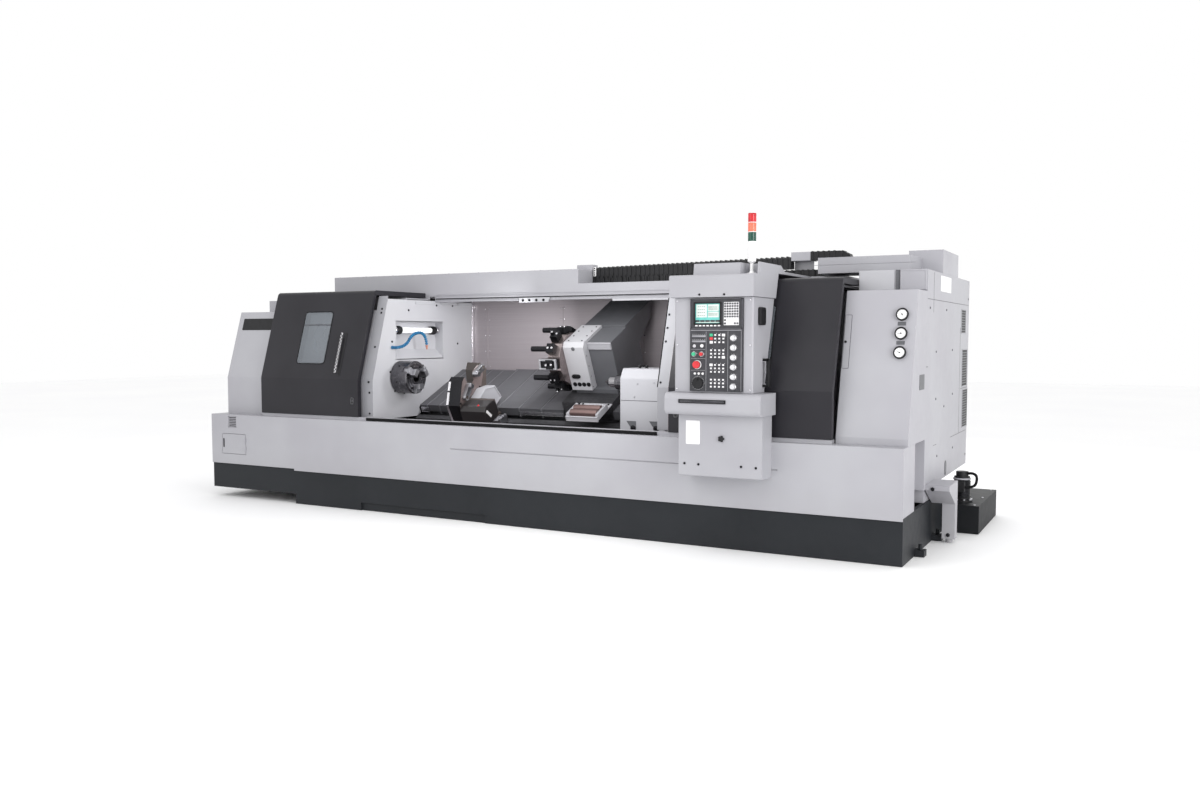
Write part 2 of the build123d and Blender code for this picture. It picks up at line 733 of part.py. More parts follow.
# Headstock wall with its jamb and the lamp bay
bay_y0 = FRONT + LAMP_BAY_BACK
bay_y1 = bay_y0 + LAMP_BAY_LENGTH
bay_z1 = LAMP_BAY_BOTTOM + LAMP_BAY_HEIGHT
bay_x0 = WALL_X - SHEET - LAMP_BAY_DEPTH
with BuildPart() as headstock_wall:
    prism(wall_outline, WALL_X - SHEET, WALL_X)
    wrap_sheet(WALL_X - JAMB_WIDTH, WALL_X, JAMB_INSET, SHEET, PANEL_TOP, ROOF_Y)
    pan_z0 = LAMP_BAY_BOTTOM - SHEET
    block(bay_x0, WALL_X, bay_y0 - SHEET, bay_y1 + SHEET, pan_z0, bay_z1 + SHEET)
    with BuildSketch(Plane.XZ.offset(-bay_y0)) as bay_section:
        with BuildLine():
            Polyline(
                (bay_x0 + SHEET, LAMP_BAY_BOTTOM + LAMP_SILL_RISE),
                (WALL_X, LAMP_BAY_BOTTOM),
                (WALL_X + OVERRUN, LAMP_BAY_BOTTOM),
                (WALL_X + OVERRUN, bay_z1),
                (bay_x0 + SHEET, bay_z1),
                close=True,
            )
        make_face()
    extrude(amount=-LAMP_BAY_LENGTH, mode=Mode.SUBTRACT)
    rod(WALL_X - SHEET - OVERRUN, WALL_X + OVERRUN, AXIS, NOSE_HOLE_RADIUS, Mode.SUBTRACT)
headstock_wall.part.label = "headstock_wall"
export_step(headstock_wall.part, "parts/headstock_wall.step")

# Splash guard: back wall, ledge over the bed, right wall with its jamb, and the chip tray
tray_y0 = FRONT + TRAY_FRONT
tray_y1 = bed_front_y - SHEET
with BuildPart() as splash_guard:
    guard_x1 = RIGHT_WALL_X + SHEET
    block(WALL_X, guard_x1, REAR_WALL_Y, REAR_WALL_Y + SHEET, LEDGE_Z - SHEET, UPPER_BASE)
    block(WALL_X, guard_x1, LEDGE_Y, REAR_WALL_Y, LEDGE_Z - SHEET, LEDGE_Z)
    prism(wall_outline, RIGHT_WALL_X, guard_x1)
    wrap_sheet(RIGHT_WALL_X, RIGHT_WALL_X + JAMB_WIDTH, JAMB_INSET, SHEET, PANEL_TOP, ROOF_Y)
    block(WALL_X, guard_x1, tray_y0, tray_y1, TRAY_HEIGHT, TRAY_HEIGHT + SHEET)
    block(WALL_X, guard_x1, tray_y0, tray_y0 + SHEET, TRAY_HEIGHT, PANEL_TOP - SHEET)
    block(WALL_X, WALL_X + SHEET, tray_y0, tray_y1, TRAY_HEIGHT, PANEL_TOP - SHEET)
    block(RIGHT_WALL_X, guard_x1, tray_y0, tray_y1, TRAY_HEIGHT, PANEL_TOP - SHEET)
    block(RIGHT_WALL_X, guard_x1, FRONT + SILL_DEPTH, tray_y1, PANEL_TOP - SHEET, PANEL_TOP)
splash_guard.part.label = "splash_guard"
export_step(splash_guard.part, "parts/splash_guard.step")

# Rear enclosure: back panel and the upper cover with its step, rail beam and chain posts
upper_x0 = LEFT + UPPER_START
upper_step_x = WALL_X + UPPER_STEP_SHARE * WORK_LENGTH
upper_x1 = RIGHT - UPPER_END
upper_y0 = FRONT + UPPER_FRONT
electric_x0 = RIGHT - ELECTRIC_WIDTH
chain_y0 = FRONT + CHAIN_BACK
chain_bend_x = RIGHT - CHAIN_FROM_RIGHT
chain_low_top = UPPER_LOW_TOP + CHAIN_HEIGHT
chain_high = chain_low_top + 2 * CHAIN_BEND
chain_end_x = chain_bend_x - CHAIN_UPPER_RUN
with BuildPart() as rear_enclosure:
    back_y = BODY_Y - SHEET
    block(LEFT + SHEET, cover_x1, back_y, BODY_Y, BASE_HEIGHT, PANEL_TOP)
    block(cover_x1, electric_x0, back_y, BODY_Y, BASE_HEIGHT, UPPER_BASE)
    block(upper_x0, upper_step_x, upper_y0, BODY_Y, UPPER_BASE, UPPER_TOP)
    block(upper_step_x, upper_x1, upper_y0, BODY_Y, UPPER_BASE, UPPER_LOW_TOP)
    hollow_y0 = upper_y0 + SHEET
    hollow_low = UPPER_BASE - OVERRUN
    hollow_x1 = upper_step_x - SHEET
    block(upper_x0 + SHEET, hollow_x1, hollow_y0, back_y, hollow_low, UPPER_TOP - SHEET, Mode.SUBTRACT)
    block(upper_step_x, upper_x1 - SHEET, hollow_y0, back_y, hollow_low, UPPER_LOW_TOP - SHEET, Mode.SUBTRACT)
    beam_z0 = UPPER_BASE - RAIL_BEAM_HEIGHT
    block(WALL_X, RIGHT_WALL_X, upper_y0, upper_y0 + RAIL_BEAM_DEPTH, beam_z0, UPPER_BASE)
    post_x0 = upper_step_x - CHAIN_POST_WIDTH
    post_top = UPPER_TOP + CHAIN_POST_RISE
    block(post_x0, upper_step_x, chain_y0, chain_y0 + CHAIN_WIDTH, UPPER_TOP - SHEET, post_top)
    bracket_y0 = chain_y0 + CHAIN_WIDTH
    bracket_x0 = chain_end_x - CHAIN_POST_WIDTH
    bracket_top = chain_high + CHAIN_HEIGHT
    block(bracket_x0, chain_end_x, bracket_y0, bracket_y0 + SHEET, UPPER_LOW_TOP, bracket_top)
    block(bracket_x0, chain_end_x, chain_y0, bracket_y0, chain_high, bracket_top)
rear_enclosure.part.label = "rear_enclosure"
export_step(rear_enclosure.part, "parts/rear_enclosure.step")

# Cable chain: lower run, bend and short upper run, notched between its links
with BuildPart() as cable_chain:
    chain_y1 = chain_y0 + CHAIN_WIDTH
    bend_z = chain_low_top + CHAIN_BEND
    bend_radius = CHAIN_BEND + CHAIN_HEIGHT
    block(upper_step_x, chain_bend_x, chain_y0, chain_y1, UPPER_LOW_TOP, chain_low_top)
    block(chain_end_x, chain_bend_x, chain_y0, chain_y1, chain_high, chain_high + CHAIN_HEIGHT)
    with BuildSketch(Plane.XZ.offset(-chain_y0)) as bend:
        with Locations((chain_bend_x, bend_z)):
            Circle(bend_radius)
            Circle(CHAIN_BEND, mode=Mode.SUBTRACT)
        with Locations((chain_bend_x - bend_radius / 2, bend_z)):
            Rectangle(bend_radius, 2 * bend_radius, mode=Mode.SUBTRACT)
    extrude(amount=-CHAIN_WIDTH)
    lower_links = int((chain_bend_x - upper_step_x) / CHAIN_PITCH)
    notch_y0 = chain_y0 - OVERRUN
    notch_y1 = chain_y1 + OVERRUN
    for link in range(1, lower_links):
        notch_x = upper_step_x + link * CHAIN_PITCH
        notch_z = chain_low_top - CHAIN_NOTCH_DEPTH
        top = chain_low_top + OVERRUN
        block(notch_x, notch_x + CHAIN_NOTCH, notch_y0, notch_y1, notch_z, top, Mode.SUBTRACT)
        side_y = chain_y0 + CHAIN_NOTCH_DEPTH
        block(notch_x, notch_x + CHAIN_NOTCH, notch_y0, side_y, UPPER_LOW_TOP - OVERRUN, top, Mode.SUBTRACT)
cable_chain.part.label = "cable_chain"
export_step(cable_chain.part, "parts/cable_chain.step")

# Work lamp: a tube in two end clamps across the lamp bay
with BuildPart() as work_lamp:
    clamp_x0 = bay_x0 + SHEET
    clamp_z0 = LAMP_HEIGHT - LAMP_CLAMP_SIZE / 2
    lamp_x = clamp_x0 + LAMP_CLAMP_SIZE / 2
    lamp_length = LAMP_BAY_LENGTH - 2 * LAMP_END_GAP
    lamp_y0 = bay_y0 + LAMP_END_GAP
    with BuildSketch(Plane.XZ.offset(-lamp_y0)) as lamp_section:
        with Locations((lamp_x, LAMP_HEIGHT)):
            Circle(LAMP_RADIUS)
    extrude(amount=-lamp_length)
    for clamp_y in (lamp_y0, lamp_y0 + lamp_length - LAMP_CLAMP_LENGTH):
        clamp_x1 = clamp_x0 + LAMP_CLAMP_SIZE
        clamp_z1 = clamp_z0 + LAMP_CLAMP_SIZE
        block(clamp_x0, clamp_x1, clamp_y, clamp_y + LAMP_CLAMP_LENGTH, clamp_z0, clamp_z1)
work_lamp.part.label = "work_lamp"
export_step(work_lamp.part, "parts/work_lamp.step")

# Coolant hose: one length of ball segments set in its bend, held by a fitting on the wall
hose_x = WALL_X + HOSE_STAND
hose_points = [(FRONT + back, height) for back, height in HOSE_POINTS]
with BuildPart() as coolant_hose:
    with BuildLine() as hose_line:
        FilletPolyline(*[(hose_x, y, z) for y, z in hose_points], radius=HOSE_ROUND)
    with BuildSketch(Plane(origin=hose_line.line @ 0, z_dir=hose_line.line % 0)):
        Circle(HOSE_RADIUS)
    sweep()
    rod(WALL_X, hose_x + HOSE_BEND, hose_points[0], HOSE_STUB_RADIUS)
coolant_hose.part.label = "coolant_hose"
export_step(coolant_hose.part, "parts/coolant_hose.step")

# Slanted bed: a hollow casting with the carriage ways and the lower ways on its top
bed_front = slant(BED_FRONT_ALONG, BED_PLANE)
bed_rear = slant(BED_REAR_ALONG, BED_PLANE)
bed_outline = [
    (bed_front_y, BASE_HEIGHT),
    (bed_back_y, BASE_HEIGHT),
    (bed_back_y, BASE_HEIGHT + BED_FOOT),
    (bed_rear[0], bed_rear[1] - BED_LIP),
    bed_rear,
    bed_front,
]
with BuildPart() as slant_bed:
    prism(bed_outline, BED_X0, BED_X1)
    prism(bed_outline, BED_X0 - OVERRUN, BED_X1 + OVERRUN, Mode.SUBTRACT, inset=BED_WALL)
    for along0, along1 in CARRIAGE_WAYS:
        slant_block(WALL_X, BED_X1, along0, along1, BED_PLANE, CARRIAGE_WAY_TOP)
    for along0, along1 in LOWER_WAYS:
        slant_block(WALL_X, BED_X1, along0, along1, BED_PLANE, LOWER_WAY_TOP)
slant_bed.part.label = "slant_bed"
export_step(slant_bed.part, "parts/slant_bed.step")

# Headstock on the bed, bored for the bearings
head_x1 = BED_X0 + HEADSTOCK_LENGTH
with BuildPart() as headstock:
    slant_block(BED_X0, head_x1, HEADSTOCK_FRONT_ALONG, HEADSTOCK_REAR_ALONG, BED_PLANE, HEADSTOCK_TOP)
    fillet(headstock.edges().filter_by(Axis.X).sort_by(Axis.Z)[-2:], HEADSTOCK_ROUND)
    rod(BED_X0 - OVERRUN, head_x1 + OVERRUN, AXIS, BEARING_RADIUS, Mode.SUBTRACT)
headstock.part.label = "headstock"
export_step(headstock.part, "parts/headstock.step")

# Two bearing sets in the headstock
with BuildPart() as spindle_bearings:
    for bearing_x0 in (BED_X0 + BEARING_INSET, head_x1 - BEARING_INSET - BEARING_WIDTH):
        bearing_x1 = bearing_x0 + BEARING_WIDTH
        rod(bearing_x0, bearing_x1, AXIS, BEARING_RADIUS - FIT)
        rod(bearing_x0 - OVERRUN, bearing_x1 + OVERRUN, AXIS, SPINDLE_RADIUS + FIT, Mode.SUBTRACT)
spindle_bearings.part.label = "spindle_bearings"
export_step(spindle_bearings.part, "parts/spindle_bearings.step")

# Spindle with its nose flange and through bore
pulley_x1 = BED_X0 - PULLEY_GAP
pulley_x0 = pulley_x1 - PULLEY_WIDTH
chuck_x0 = WALL_X + CHUCK_GAP
chuck_x1 = chuck_x0 + CHUCK_LENGTH
with BuildPart() as spindle:
    rod(pulley_x0 - SPINDLE_TAIL, chuck_x0, AXIS, SPINDLE_RADIUS)
    rod(head_x1 + BEARING_INSET, chuck_x0, AXIS, NOSE_RADIUS)
    rod(pulley_x0 - SPINDLE_TAIL - OVERRUN, chuck_x0 + OVERRUN, AXIS, SPINDLE_BORE, Mode.SUBTRACT)
spindle.part.label = "spindle"
export_step(spindle.part, "parts/spindle.step")

# Pulley on the spindle's tail
with BuildPart() as spindle_pulley:
    rod(pulley_x0, pulley_x1, AXIS, SPINDLE_PULLEY_RADIUS)
    rod(pulley_x0 - OVERRUN, pulley_x1 + OVERRUN, AXIS, SPINDLE_RADIUS + FIT, Mode.SUBTRACT)
spindle_pulley.part.label = "spindle_pulley"
export_step(spindle_pulley.part, "parts/spindle_pulley.step")

# Spindle motor on the floor of the base, behind the left end cover
MOTOR = (FRONT + MOTOR_BACK, MOTOR_HEIGHT)
motor_x1 = pulley_x0 - MOTOR_GAP
motor_x0 = motor_x1 - MOTOR_LENGTH
with BuildPart() as spindle_motor:
    with BuildSketch(Plane.YZ.offset(motor_x0)) as motor_section:
        with Locations(MOTOR):
            RectangleRounded(MOTOR_SIZE, MOTOR_SIZE, MOTOR_ROUND)
    extrude(amount=MOTOR_LENGTH)
    foot_y = MOTOR[0] - MOTOR_FOOT / 2
    foot_z1 = MOTOR_HEIGHT - MOTOR_SIZE / 2
    block(motor_x0, motor_x1, foot_y, foot_y + MOTOR_FOOT, STEP_HEIGHT + BASE_WALL, foot_z1)
    rod(motor_x1 - MOTOR_BORE_DEPTH, motor_x1 + OVERRUN, MOTOR, MOTOR_SHAFT_RADIUS + FIT, Mode.SUBTRACT)
spindle_motor.part.label = "spindle_motor"
export_step(spindle_motor.part, "parts/spindle_motor.step")

# Motor pulley with its shaft
with BuildPart() as motor_pulley:
    rod(motor_x1 - MOTOR_BORE_DEPTH + OVERRUN, pulley_x1, MOTOR, MOTOR_SHAFT_RADIUS)
    rod(pulley_x0, pulley_x1, MOTOR, MOTOR_PULLEY_RADIUS)
motor_pulley.part.label = "motor_pulley"
export_step(motor_pulley.part, "parts/motor_pulley.step")


def belt_loop(grow):
    # Outline round both pulleys, grown by a margin
    with BuildSketch(Plane.YZ.offset(pulley_x0 + BELT_MARGIN)) as loop:
        with Locations(AXIS):
            Circle(SPINDLE_PULLEY_RADIUS + grow)
        with Locations(MOTOR):
            Circle(MOTOR_PULLEY_RADIUS + grow)
        make_hull()
    return loop.sketch


# Belt from the motor to the spindle
with BuildPart() as drive_belt:
    belt_width = PULLEY_WIDTH - 2 * BELT_MARGIN
    extrude(belt_loop(BELT_GAP + BELT_THICKNESS), belt_width)
    extrude(belt_loop(BELT_GAP), belt_width, mode=Mode.SUBTRACT)
drive_belt.part.label = "drive_belt"
export_step(drive_belt.part, "parts/drive_belt.step")


def radial_bar(turn, x0, x1, inner, outer, width, mode=Mode.ADD):
    # Bar that runs out from the spindle axis at a turn in degrees
    with BuildSketch(Plane.YZ.offset(x0)) as section:
        with Locations(AXIS):
            with PolarLocations((inner + outer) / 2, 1, start_angle=turn):
                Rectangle(outer - inner, width)
    extrude(section.sketch, x1 - x0, mode=mode)


# Three-jaw chuck
slot_x0 = chuck_x1 - SLOT_DEPTH
with BuildPart() as chuck_body:
    rod(chuck_x0, chuck_x1, AXIS, CHUCK_RADIUS)
    chamfer(chuck_body.edges().filter_by(GeomType.CIRCLE), CHUCK_CHAMFER)
    rod(chuck_x0 - OVERRUN, chuck_x1 + OVERRUN, AXIS, SPINDLE_BORE, Mode.SUBTRACT)
    for jaw_turn in JAW_ANGLES:
        slot_end = CHUCK_RADIUS + OVERRUN
        radial_bar(jaw_turn, slot_x0, chuck_x1 + OVERRUN, SLOT_INNER, slot_end, SLOT_WIDTH, Mode.SUBTRACT)
chuck_body.part.label = "chuck_body"
export_step(chuck_body.part, "parts/chuck_body.step")

# Stepped jaws, each sliding along its slot
for jaw_number, jaw_turn in enumerate(JAW_ANGLES, 1):
    with BuildPart() as chuck_jaw:
        jaw_x0 = chuck_x1 + JAW_GAP
        jaw_x1 = chuck_x1 + JAW_BASE_HEIGHT
        jaw_step = JAW_INNER + JAW_STEP_SHARE * (JAW_OUTER - JAW_INNER)
        radial_bar(jaw_turn, slot_x0 + JAW_GAP, jaw_x0, JAW_INNER, JAW_OUTER, SLOT_WIDTH - 2 * JAW_GAP)
        radial_bar(jaw_turn, jaw_x0, jaw_x1, JAW_INNER, JAW_OUTER, JAW_WIDTH)
        radial_bar(jaw_turn, jaw_x1, chuck_x1 + JAW_HEIGHT, JAW_INNER, jaw_step, JAW_WIDTH)
    chuck_jaw.part.label = f"chuck_jaw_{jaw_number}"
    export_step(chuck_jaw.part, f"parts/chuck_jaw_{jaw_number}.step")


def way_cover(x0, x1, nest):
    # Folded sheet over the carriage ways, drawn in on every side by nest
    along0 = COVER_FRONT_ALONG + nest
    along1 = COVER_REAR_ALONG - nest
    top = COVER_TOP - nest
    slant_block(x0, x1, along0, along1, COVER_SKIRT, top)
    cut0 = along0 + COVER_SHEET
    cut1 = along1 - COVER_SHEET
    slant_block(x0, x1, cut0, cut1, COVER_SKIRT - OVERRUN, top - COVER_SHEET, Mode.SUBTRACT)


# Fixed way covers at both ends of the work space
with BuildPart() as way_covers:
    way_cover(WALL_X, WALL_X + FIXED_LEFT_COVER, COVER_NEST)
    way_cover(RIGHT_WALL_X - FIXED_RIGHT_COVER, RIGHT_WALL_X, COVER_NEST)
way_covers.part.label = "way_covers"
export_step(way_covers.part, "parts/way_covers.step")

# Saddle on the carriage ways
saddle_x0 = WALL_X + SADDLE_SHARE * WORK_LENGTH
saddle_x1 = saddle_x0 + SADDLE_LENGTH
with BuildPart() as saddle:
    saddle_low = CARRIAGE_WAY_TOP + RUNNING_GAP
    slant_block(saddle_x0, saddle_x1, SADDLE_FRONT_ALONG, SADDLE_REAR_ALONG, saddle_low, SADDLE_TOP)
saddle.part.label = "saddle"
export_step(saddle.part, "parts/saddle.step")

# Way covers that travel with the saddle
with BuildPart() as carriage_covers:
    way_cover(saddle_x0 - MOVING_LEFT_COVER, saddle_x0, 0)
    way_cover(saddle_x1, saddle_x1 + MOVING_RIGHT_COVER, 0)
carriage_covers.part.label = "carriage_covers"
export_step(carriage_covers.part, "parts/carriage_covers.step")

# Cross slide with the tower behind the turret
slide_x0 = saddle_x0 + SLIDE_INSET
slide_x1 = slide_x0 + SLIDE_LENGTH
slide_low = SADDLE_TOP + RUNNING_GAP
with BuildPart() as cross_slide:
    slant_block(slide_x0, slide_x1, SLIDE_FRONT_ALONG, SLIDE_REAR_ALONG, slide_low, SLIDE_SLAB_TOP)
    tower_outline = [
        slant(TOWER_FRONT_ALONG, slide_low),
        slant(SLIDE_REAR_ALONG, slide_low),
        slant(SLIDE_REAR_ALONG, TOWER_NECK),
        slant(TOWER_LIP_ALONG, TOWER_LIP),
        slant(TOWER_REAR_ALONG, TOWER_TOP),
        slant(TOWER_FRONT_ALONG, TOWER_TOP),
    ]
    prism(tower_outline, slide_x0, slide_x1)
    shroud_x0 = saddle_x0 + TURRET_START + TURRET_LENGTH
    slant_block(shroud_x0, slide_x1, SHROUD_FRONT_ALONG, TOWER_FRONT_ALONG, SLIDE_SLAB_TOP, SHROUD_TOP)
cross_slide.part.label = "cross_slide"
export_step(cross_slide.part, "parts/cross_slide.step")

# Turret housing, bored for the disc's shaft
turret_x0 = saddle_x0 + TURRET_START
disc_centre = slant(DISC_ALONG, 0)
with BuildPart() as turret_housing:
    housing_outline = [
        slant(TURRET_FRONT_ALONG, SLIDE_SLAB_TOP),
        slant(TOWER_FRONT_ALONG, SLIDE_SLAB_TOP),
        slant(TOWER_FRONT_ALONG, TURRET_TOP),
        slant(TURRET_FRONT_ALONG + TURRET_CHAMFER, TURRET_TOP),
        slant(TURRET_FRONT_ALONG, TURRET_TOP - TURRET_CHAMFER),
    ]
    prism(housing_outline, turret_x0, turret_x0 + TURRET_LENGTH)
    bore_end = turret_x0 + DISC_SHAFT_LENGTH + OVERRUN
    rod(turret_x0 - OVERRUN, bore_end, disc_centre, DISC_SHAFT_RADIUS + FIT, Mode.SUBTRACT)
turret_housing.part.label = "turret_housing"
export_step(turret_housing.part, "parts/turret_housing.step")

# Turret disc with one flat for each station
disc_x1 = turret_x0 - DISC_GAP
disc_x0 = disc_x1 - DISC_THICKNESS
slope_dir = (0, cos(SLANT), sin(SLANT))
disc_plane = Plane(origin=(disc_x0, *disc_centre), x_dir=slope_dir, z_dir=(1, 0, 0))
with BuildPart() as turret_disc:
    with BuildSketch(disc_plane) as disc_section:
        RegularPolygon(DISC_RADIUS, STATIONS)
    extrude(amount=DISC_THICKNESS)
    rod(disc_x1, turret_x0 + DISC_SHAFT_LENGTH, disc_centre, DISC_SHAFT_RADIUS)
turret_disc.part.label = "turret_disc"
export_step(turret_disc.part, "parts/turret_disc.step")

# Tool holders on the flats: boring bars and turning tools by turns
station_turn = 180 / STATIONS
flat_radius = DISC_RADIUS * cos(radians(station_turn))
holder_plane = disc_plane.offset(TOOL_INSET)
with BuildPart() as turret_tools:
    with BuildSketch(holder_plane) as holders:
        with PolarLocations(flat_radius + TOOL_HEIGHT / 2, STATIONS, start_angle=station_turn):
            Rectangle(TOOL_HEIGHT, TOOL_WIDTH)
    extrude(amount=TOOL_LENGTH)
    with BuildSketch(holder_plane) as bars:
        with PolarLocations(flat_radius + TOOL_HEIGHT / 2, STATIONS // 2, start_angle=station_turn):
            Circle(BAR_RADIUS)
    extrude(amount=-BAR_LENGTH)
    bit_radius = flat_radius + TOOL_HEIGHT + BIT_HEIGHT / 2
    with BuildSketch(holder_plane) as bits:
        with PolarLocations(bit_radius, STATIONS // 2, start_angle=3 * station_turn):
            Rectangle(BIT_HEIGHT, BIT_SIZE)
    extrude(amount=BIT_SIZE)
turret_tools.part.label = "turret_tools"
export_step(turret_tools.part, "parts/turret_tools.step")

# Tailstock body on the lower ways
tail_x0 = RIGHT_WALL_X - TAILSTOCK_FROM_WALL
tail_x1 = tail_x0 + TAILSTOCK_LENGTH
tail_low = LOWER_WAY_TOP + RUNNING_GAP
tail_front_y = FRONT + TAILSTOCK_FRONT
tail_outline = [
    slant(TAILSTOCK_FOOT_FRONT, tail_low),
    (tail_front_y, TAILSTOCK_TOE),
    (tail_front_y, TAILSTOCK_TOP - TAILSTOCK_BROW),
    (tail_front_y + TAILSTOCK_BROW_DEPTH, TAILSTOCK_TOP),
    (FRONT + TAILSTOCK_ROOF_BACK, TAILSTOCK_TOP),
    (FRONT + TAILSTOCK_BACK, TAILSTOCK_SHOULDER),
    slant(TAILSTOCK_FOOT_REAR, TAILSTOCK_HEEL),
    slant(TAILSTOCK_FOOT_REAR, tail_low),
]
with BuildPart() as tailstock:
    tail_rounds = [(tail_outline[corner], TAILSTOCK_ROUND) for corner in TAILSTOCK_ROUNDED]
    prism(tail_outline, tail_x0, tail_x1, rounds=tail_rounds)
    rod(tail_x0 - OVERRUN, tail_x0 + QUILL_BORE, AXIS, QUILL_RADIUS + FIT, Mode.SUBTRACT)
tailstock.part.label = "tailstock"
export_step(tailstock.part, "parts/tailstock.step")

# Quill, bored for the live centre
quill_x0 = tail_x0 - QUILL_REACH
with BuildPart() as quill:
    rod(quill_x0, quill_x0 + QUILL_LENGTH, AXIS, QUILL_RADIUS)
    shank_end = quill_x0 + CENTRE_SHANK + OVERRUN
    rod(quill_x0 - OVERRUN, shank_end, AXIS, CENTRE_SHANK_RADIUS + FIT, Mode.SUBTRACT)
quill.part.label = "quill"
export_step(quill.part, "parts/quill.step")

# Live centre
with BuildPart() as live_centre:
    centre_x1 = quill_x0 - CENTRE_GAP
    centre_x0 = centre_x1 - CENTRE_LENGTH
    rod(centre_x1, quill_x0 + CENTRE_SHANK, AXIS, CENTRE_SHANK_RADIUS)
    rod(centre_x0, centre_x1, AXIS, CENTRE_RADIUS)
    with Locations(Location((centre_x0, AXIS_Y, AXIS_Z), (0, -90, 0))):
        Cone(CENTRE_RADIUS, CENTRE_POINT_RADIUS, CENTRE_TIP, align=(Align.CENTER, Align.CENTER, Align.MIN))
live_centre.part.label = "live_centre"
export_step(live_centre.part, "parts/live_centre.step")

# Steady rest: foot, cradle plate, arm pins and the hydraulic box
steady_x0 = WALL_X + STEADY_SHARE * WORK_LENGTH
plate_x0 = steady_x0 + STEADY_PLATE_INSET
plate_x1 = plate_x0 + STEADY_THICKNESS
arm_x0 = plate_x1 + ARM_GAP
arm_x1 = arm_x0 + ARM_THICKNESS
with BuildPart() as steady_frame:
    foot_x1 = steady_x0 + STEADY_BASE_LENGTH
    slant_block(steady_x0, foot_x1, STEADY_FOOT_FRONT, STEADY_FOOT_REAR, tail_low, STEADY_BASE_TOP)
    prism([slant(*corner) for corner in STEADY_OUTLINE], plate_x0, plate_x1)
    box_front, box_rear = STEADY_BOX_ALONG
    box_low, box_high = STEADY_BOX_ABOVE
    box_outline = [
        slant(box_front + STEADY_BOX_CHAMFER, box_low),
        slant(box_rear, box_low),
        slant(box_rear, box_high),
        slant(box_front + STEADY_BOX_CHAMFER, box_high),
        slant(box_front, box_high - STEADY_BOX_CHAMFER),
        slant(box_front, box_low + STEADY_BOX_CHAMFER),
    ]
    prism(box_outline, plate_x1, plate_x1 + STEADY_BOX_LENGTH)
    for pivot in ARM_PIVOTS:
        rod(plate_x1, arm_x1, slant(*pivot), ARM_PIN_RADIUS)
steady_frame.part.label = "steady_frame"
export_step(steady_frame.part, "parts/steady_frame.step")

# Two arms with their rollers
for arm_number, (pivot, arm_turn) in enumerate(zip(ARM_PIVOTS, ARM_TURNS), 1):
    pivot_y, pivot_z = slant(*pivot)
    arm_lean = SLANT + radians(arm_turn)
    arm_dir = (0, cos(arm_lean), sin(arm_lean))
    arm_plane = Plane(origin=(arm_x0, pivot_y, pivot_z), x_dir=arm_dir, z_dir=(1, 0, 0))
    with BuildPart() as steady_arm:
        with BuildSketch(arm_plane) as arm_section:
            with Locations((ARM_LENGTH / 2, 0)):
                SlotCenterToCenter(ARM_LENGTH, ARM_WIDTH)
            Circle(ARM_PIN_RADIUS + FIT, mode=Mode.SUBTRACT)
        extrude(amount=ARM_THICKNESS)
        with BuildSketch(arm_plane.offset(ARM_THICKNESS)) as roller_section:
            with Locations((ARM_LENGTH, 0)):
                Circle(ROLLER_RADIUS)
        extrude(amount=ROLLER_LENGTH)
    steady_arm.part.label = f"steady_arm_{arm_number}"
    export_step(steady_arm.part, f"parts/steady_arm_{arm_number}.step")


def door_shell(x0, x1):
    # Wrap-over door with a deeper frame at each end
    wrap_sheet(x0, x1, 0, DOOR_SHEET, DOOR_LOW, ROOF_Y)
    wrap_sheet(x0, x0 + DOOR_FRAME_WIDTH, 0, DOOR_FRAME, DOOR_LOW, ROOF_Y)
    wrap_sheet(x1 - DOOR_FRAME_WIDTH, x1, 0, DOOR_FRAME, DOOR_LOW, ROOF_Y)


def lean_pad(x, rise, inset, width, height, depth, radius, mode=Mode.ADD):
    # Rounded pad on the leaning stretch, grown outwards by depth
    with BuildSketch(lean_plane(x, rise, inset)) as pad:
        RectangleRounded(width, height, radius)
    extrude(pad.sketch, depth, mode=mode)


def window_cut(x):
    # Rebate for the glass and the opening behind it
    lean_pad(x, WINDOW_RISE, 0, WINDOW_WIDTH, WINDOW_HEIGHT, -GLASS_DEPTH, WINDOW_ROUND, Mode.SUBTRACT)
    ledge = 2 * WINDOW_LEDGE
    through = -DOOR_SHEET - OVERRUN
    round_in = WINDOW_ROUND - WINDOW_LEDGE
    lean_pad(x, WINDOW_RISE, 0, WINDOW_WIDTH - ledge, WINDOW_HEIGHT - ledge, through, round_in, Mode.SUBTRACT)


def window_glass(x):
    # Pane that fills the rebate
    gap = 2 * GLASS_GAP
    pane_round = WINDOW_ROUND - GLASS_GAP
    lean_pad(x, WINDOW_RISE, 0, WINDOW_WIDTH - gap, WINDOW_HEIGHT - gap, -GLASS_DEPTH, pane_round)


def door_handle(x):
    # Upright bar on two feet
    half = HANDLE_WIDTH / 4
    for side in (-1, 1):
        foot_rise = HANDLE_RISE + side * (HANDLE_LENGTH - HANDLE_FOOT) / 2
        lean_pad(x, foot_rise, 0, HANDLE_WIDTH, HANDLE_FOOT, HANDLE_STAND, half)
    lean_pad(x, HANDLE_RISE, -HANDLE_STAND, HANDLE_WIDTH, HANDLE_LENGTH, HANDLE_DEPTH, half)


# Left door, shown open over the end cover
left_window_x = left_door_x1 - WINDOW_FROM_EDGE
with BuildPart() as left_door:
    door_shell(left_door_x0, left_door_x1)
    window_cut(left_window_x)
left_door.part.label = "left_door"
export_step(left_door.part, "parts/left_door.step")

with BuildPart() as left_door_window:
    window_glass(left_window_x)
left_door_window.part.label = "left_door_window"
export_step(left_door_window.part, "parts/left_door_window.step")

with BuildPart() as left_door_handle:
    door_handle(left_door_x1 - HANDLE_INSET)
left_door_handle.part.label = "left_door_handle"
export_step(left_door_handle.part, "parts/left_door_handle.step")

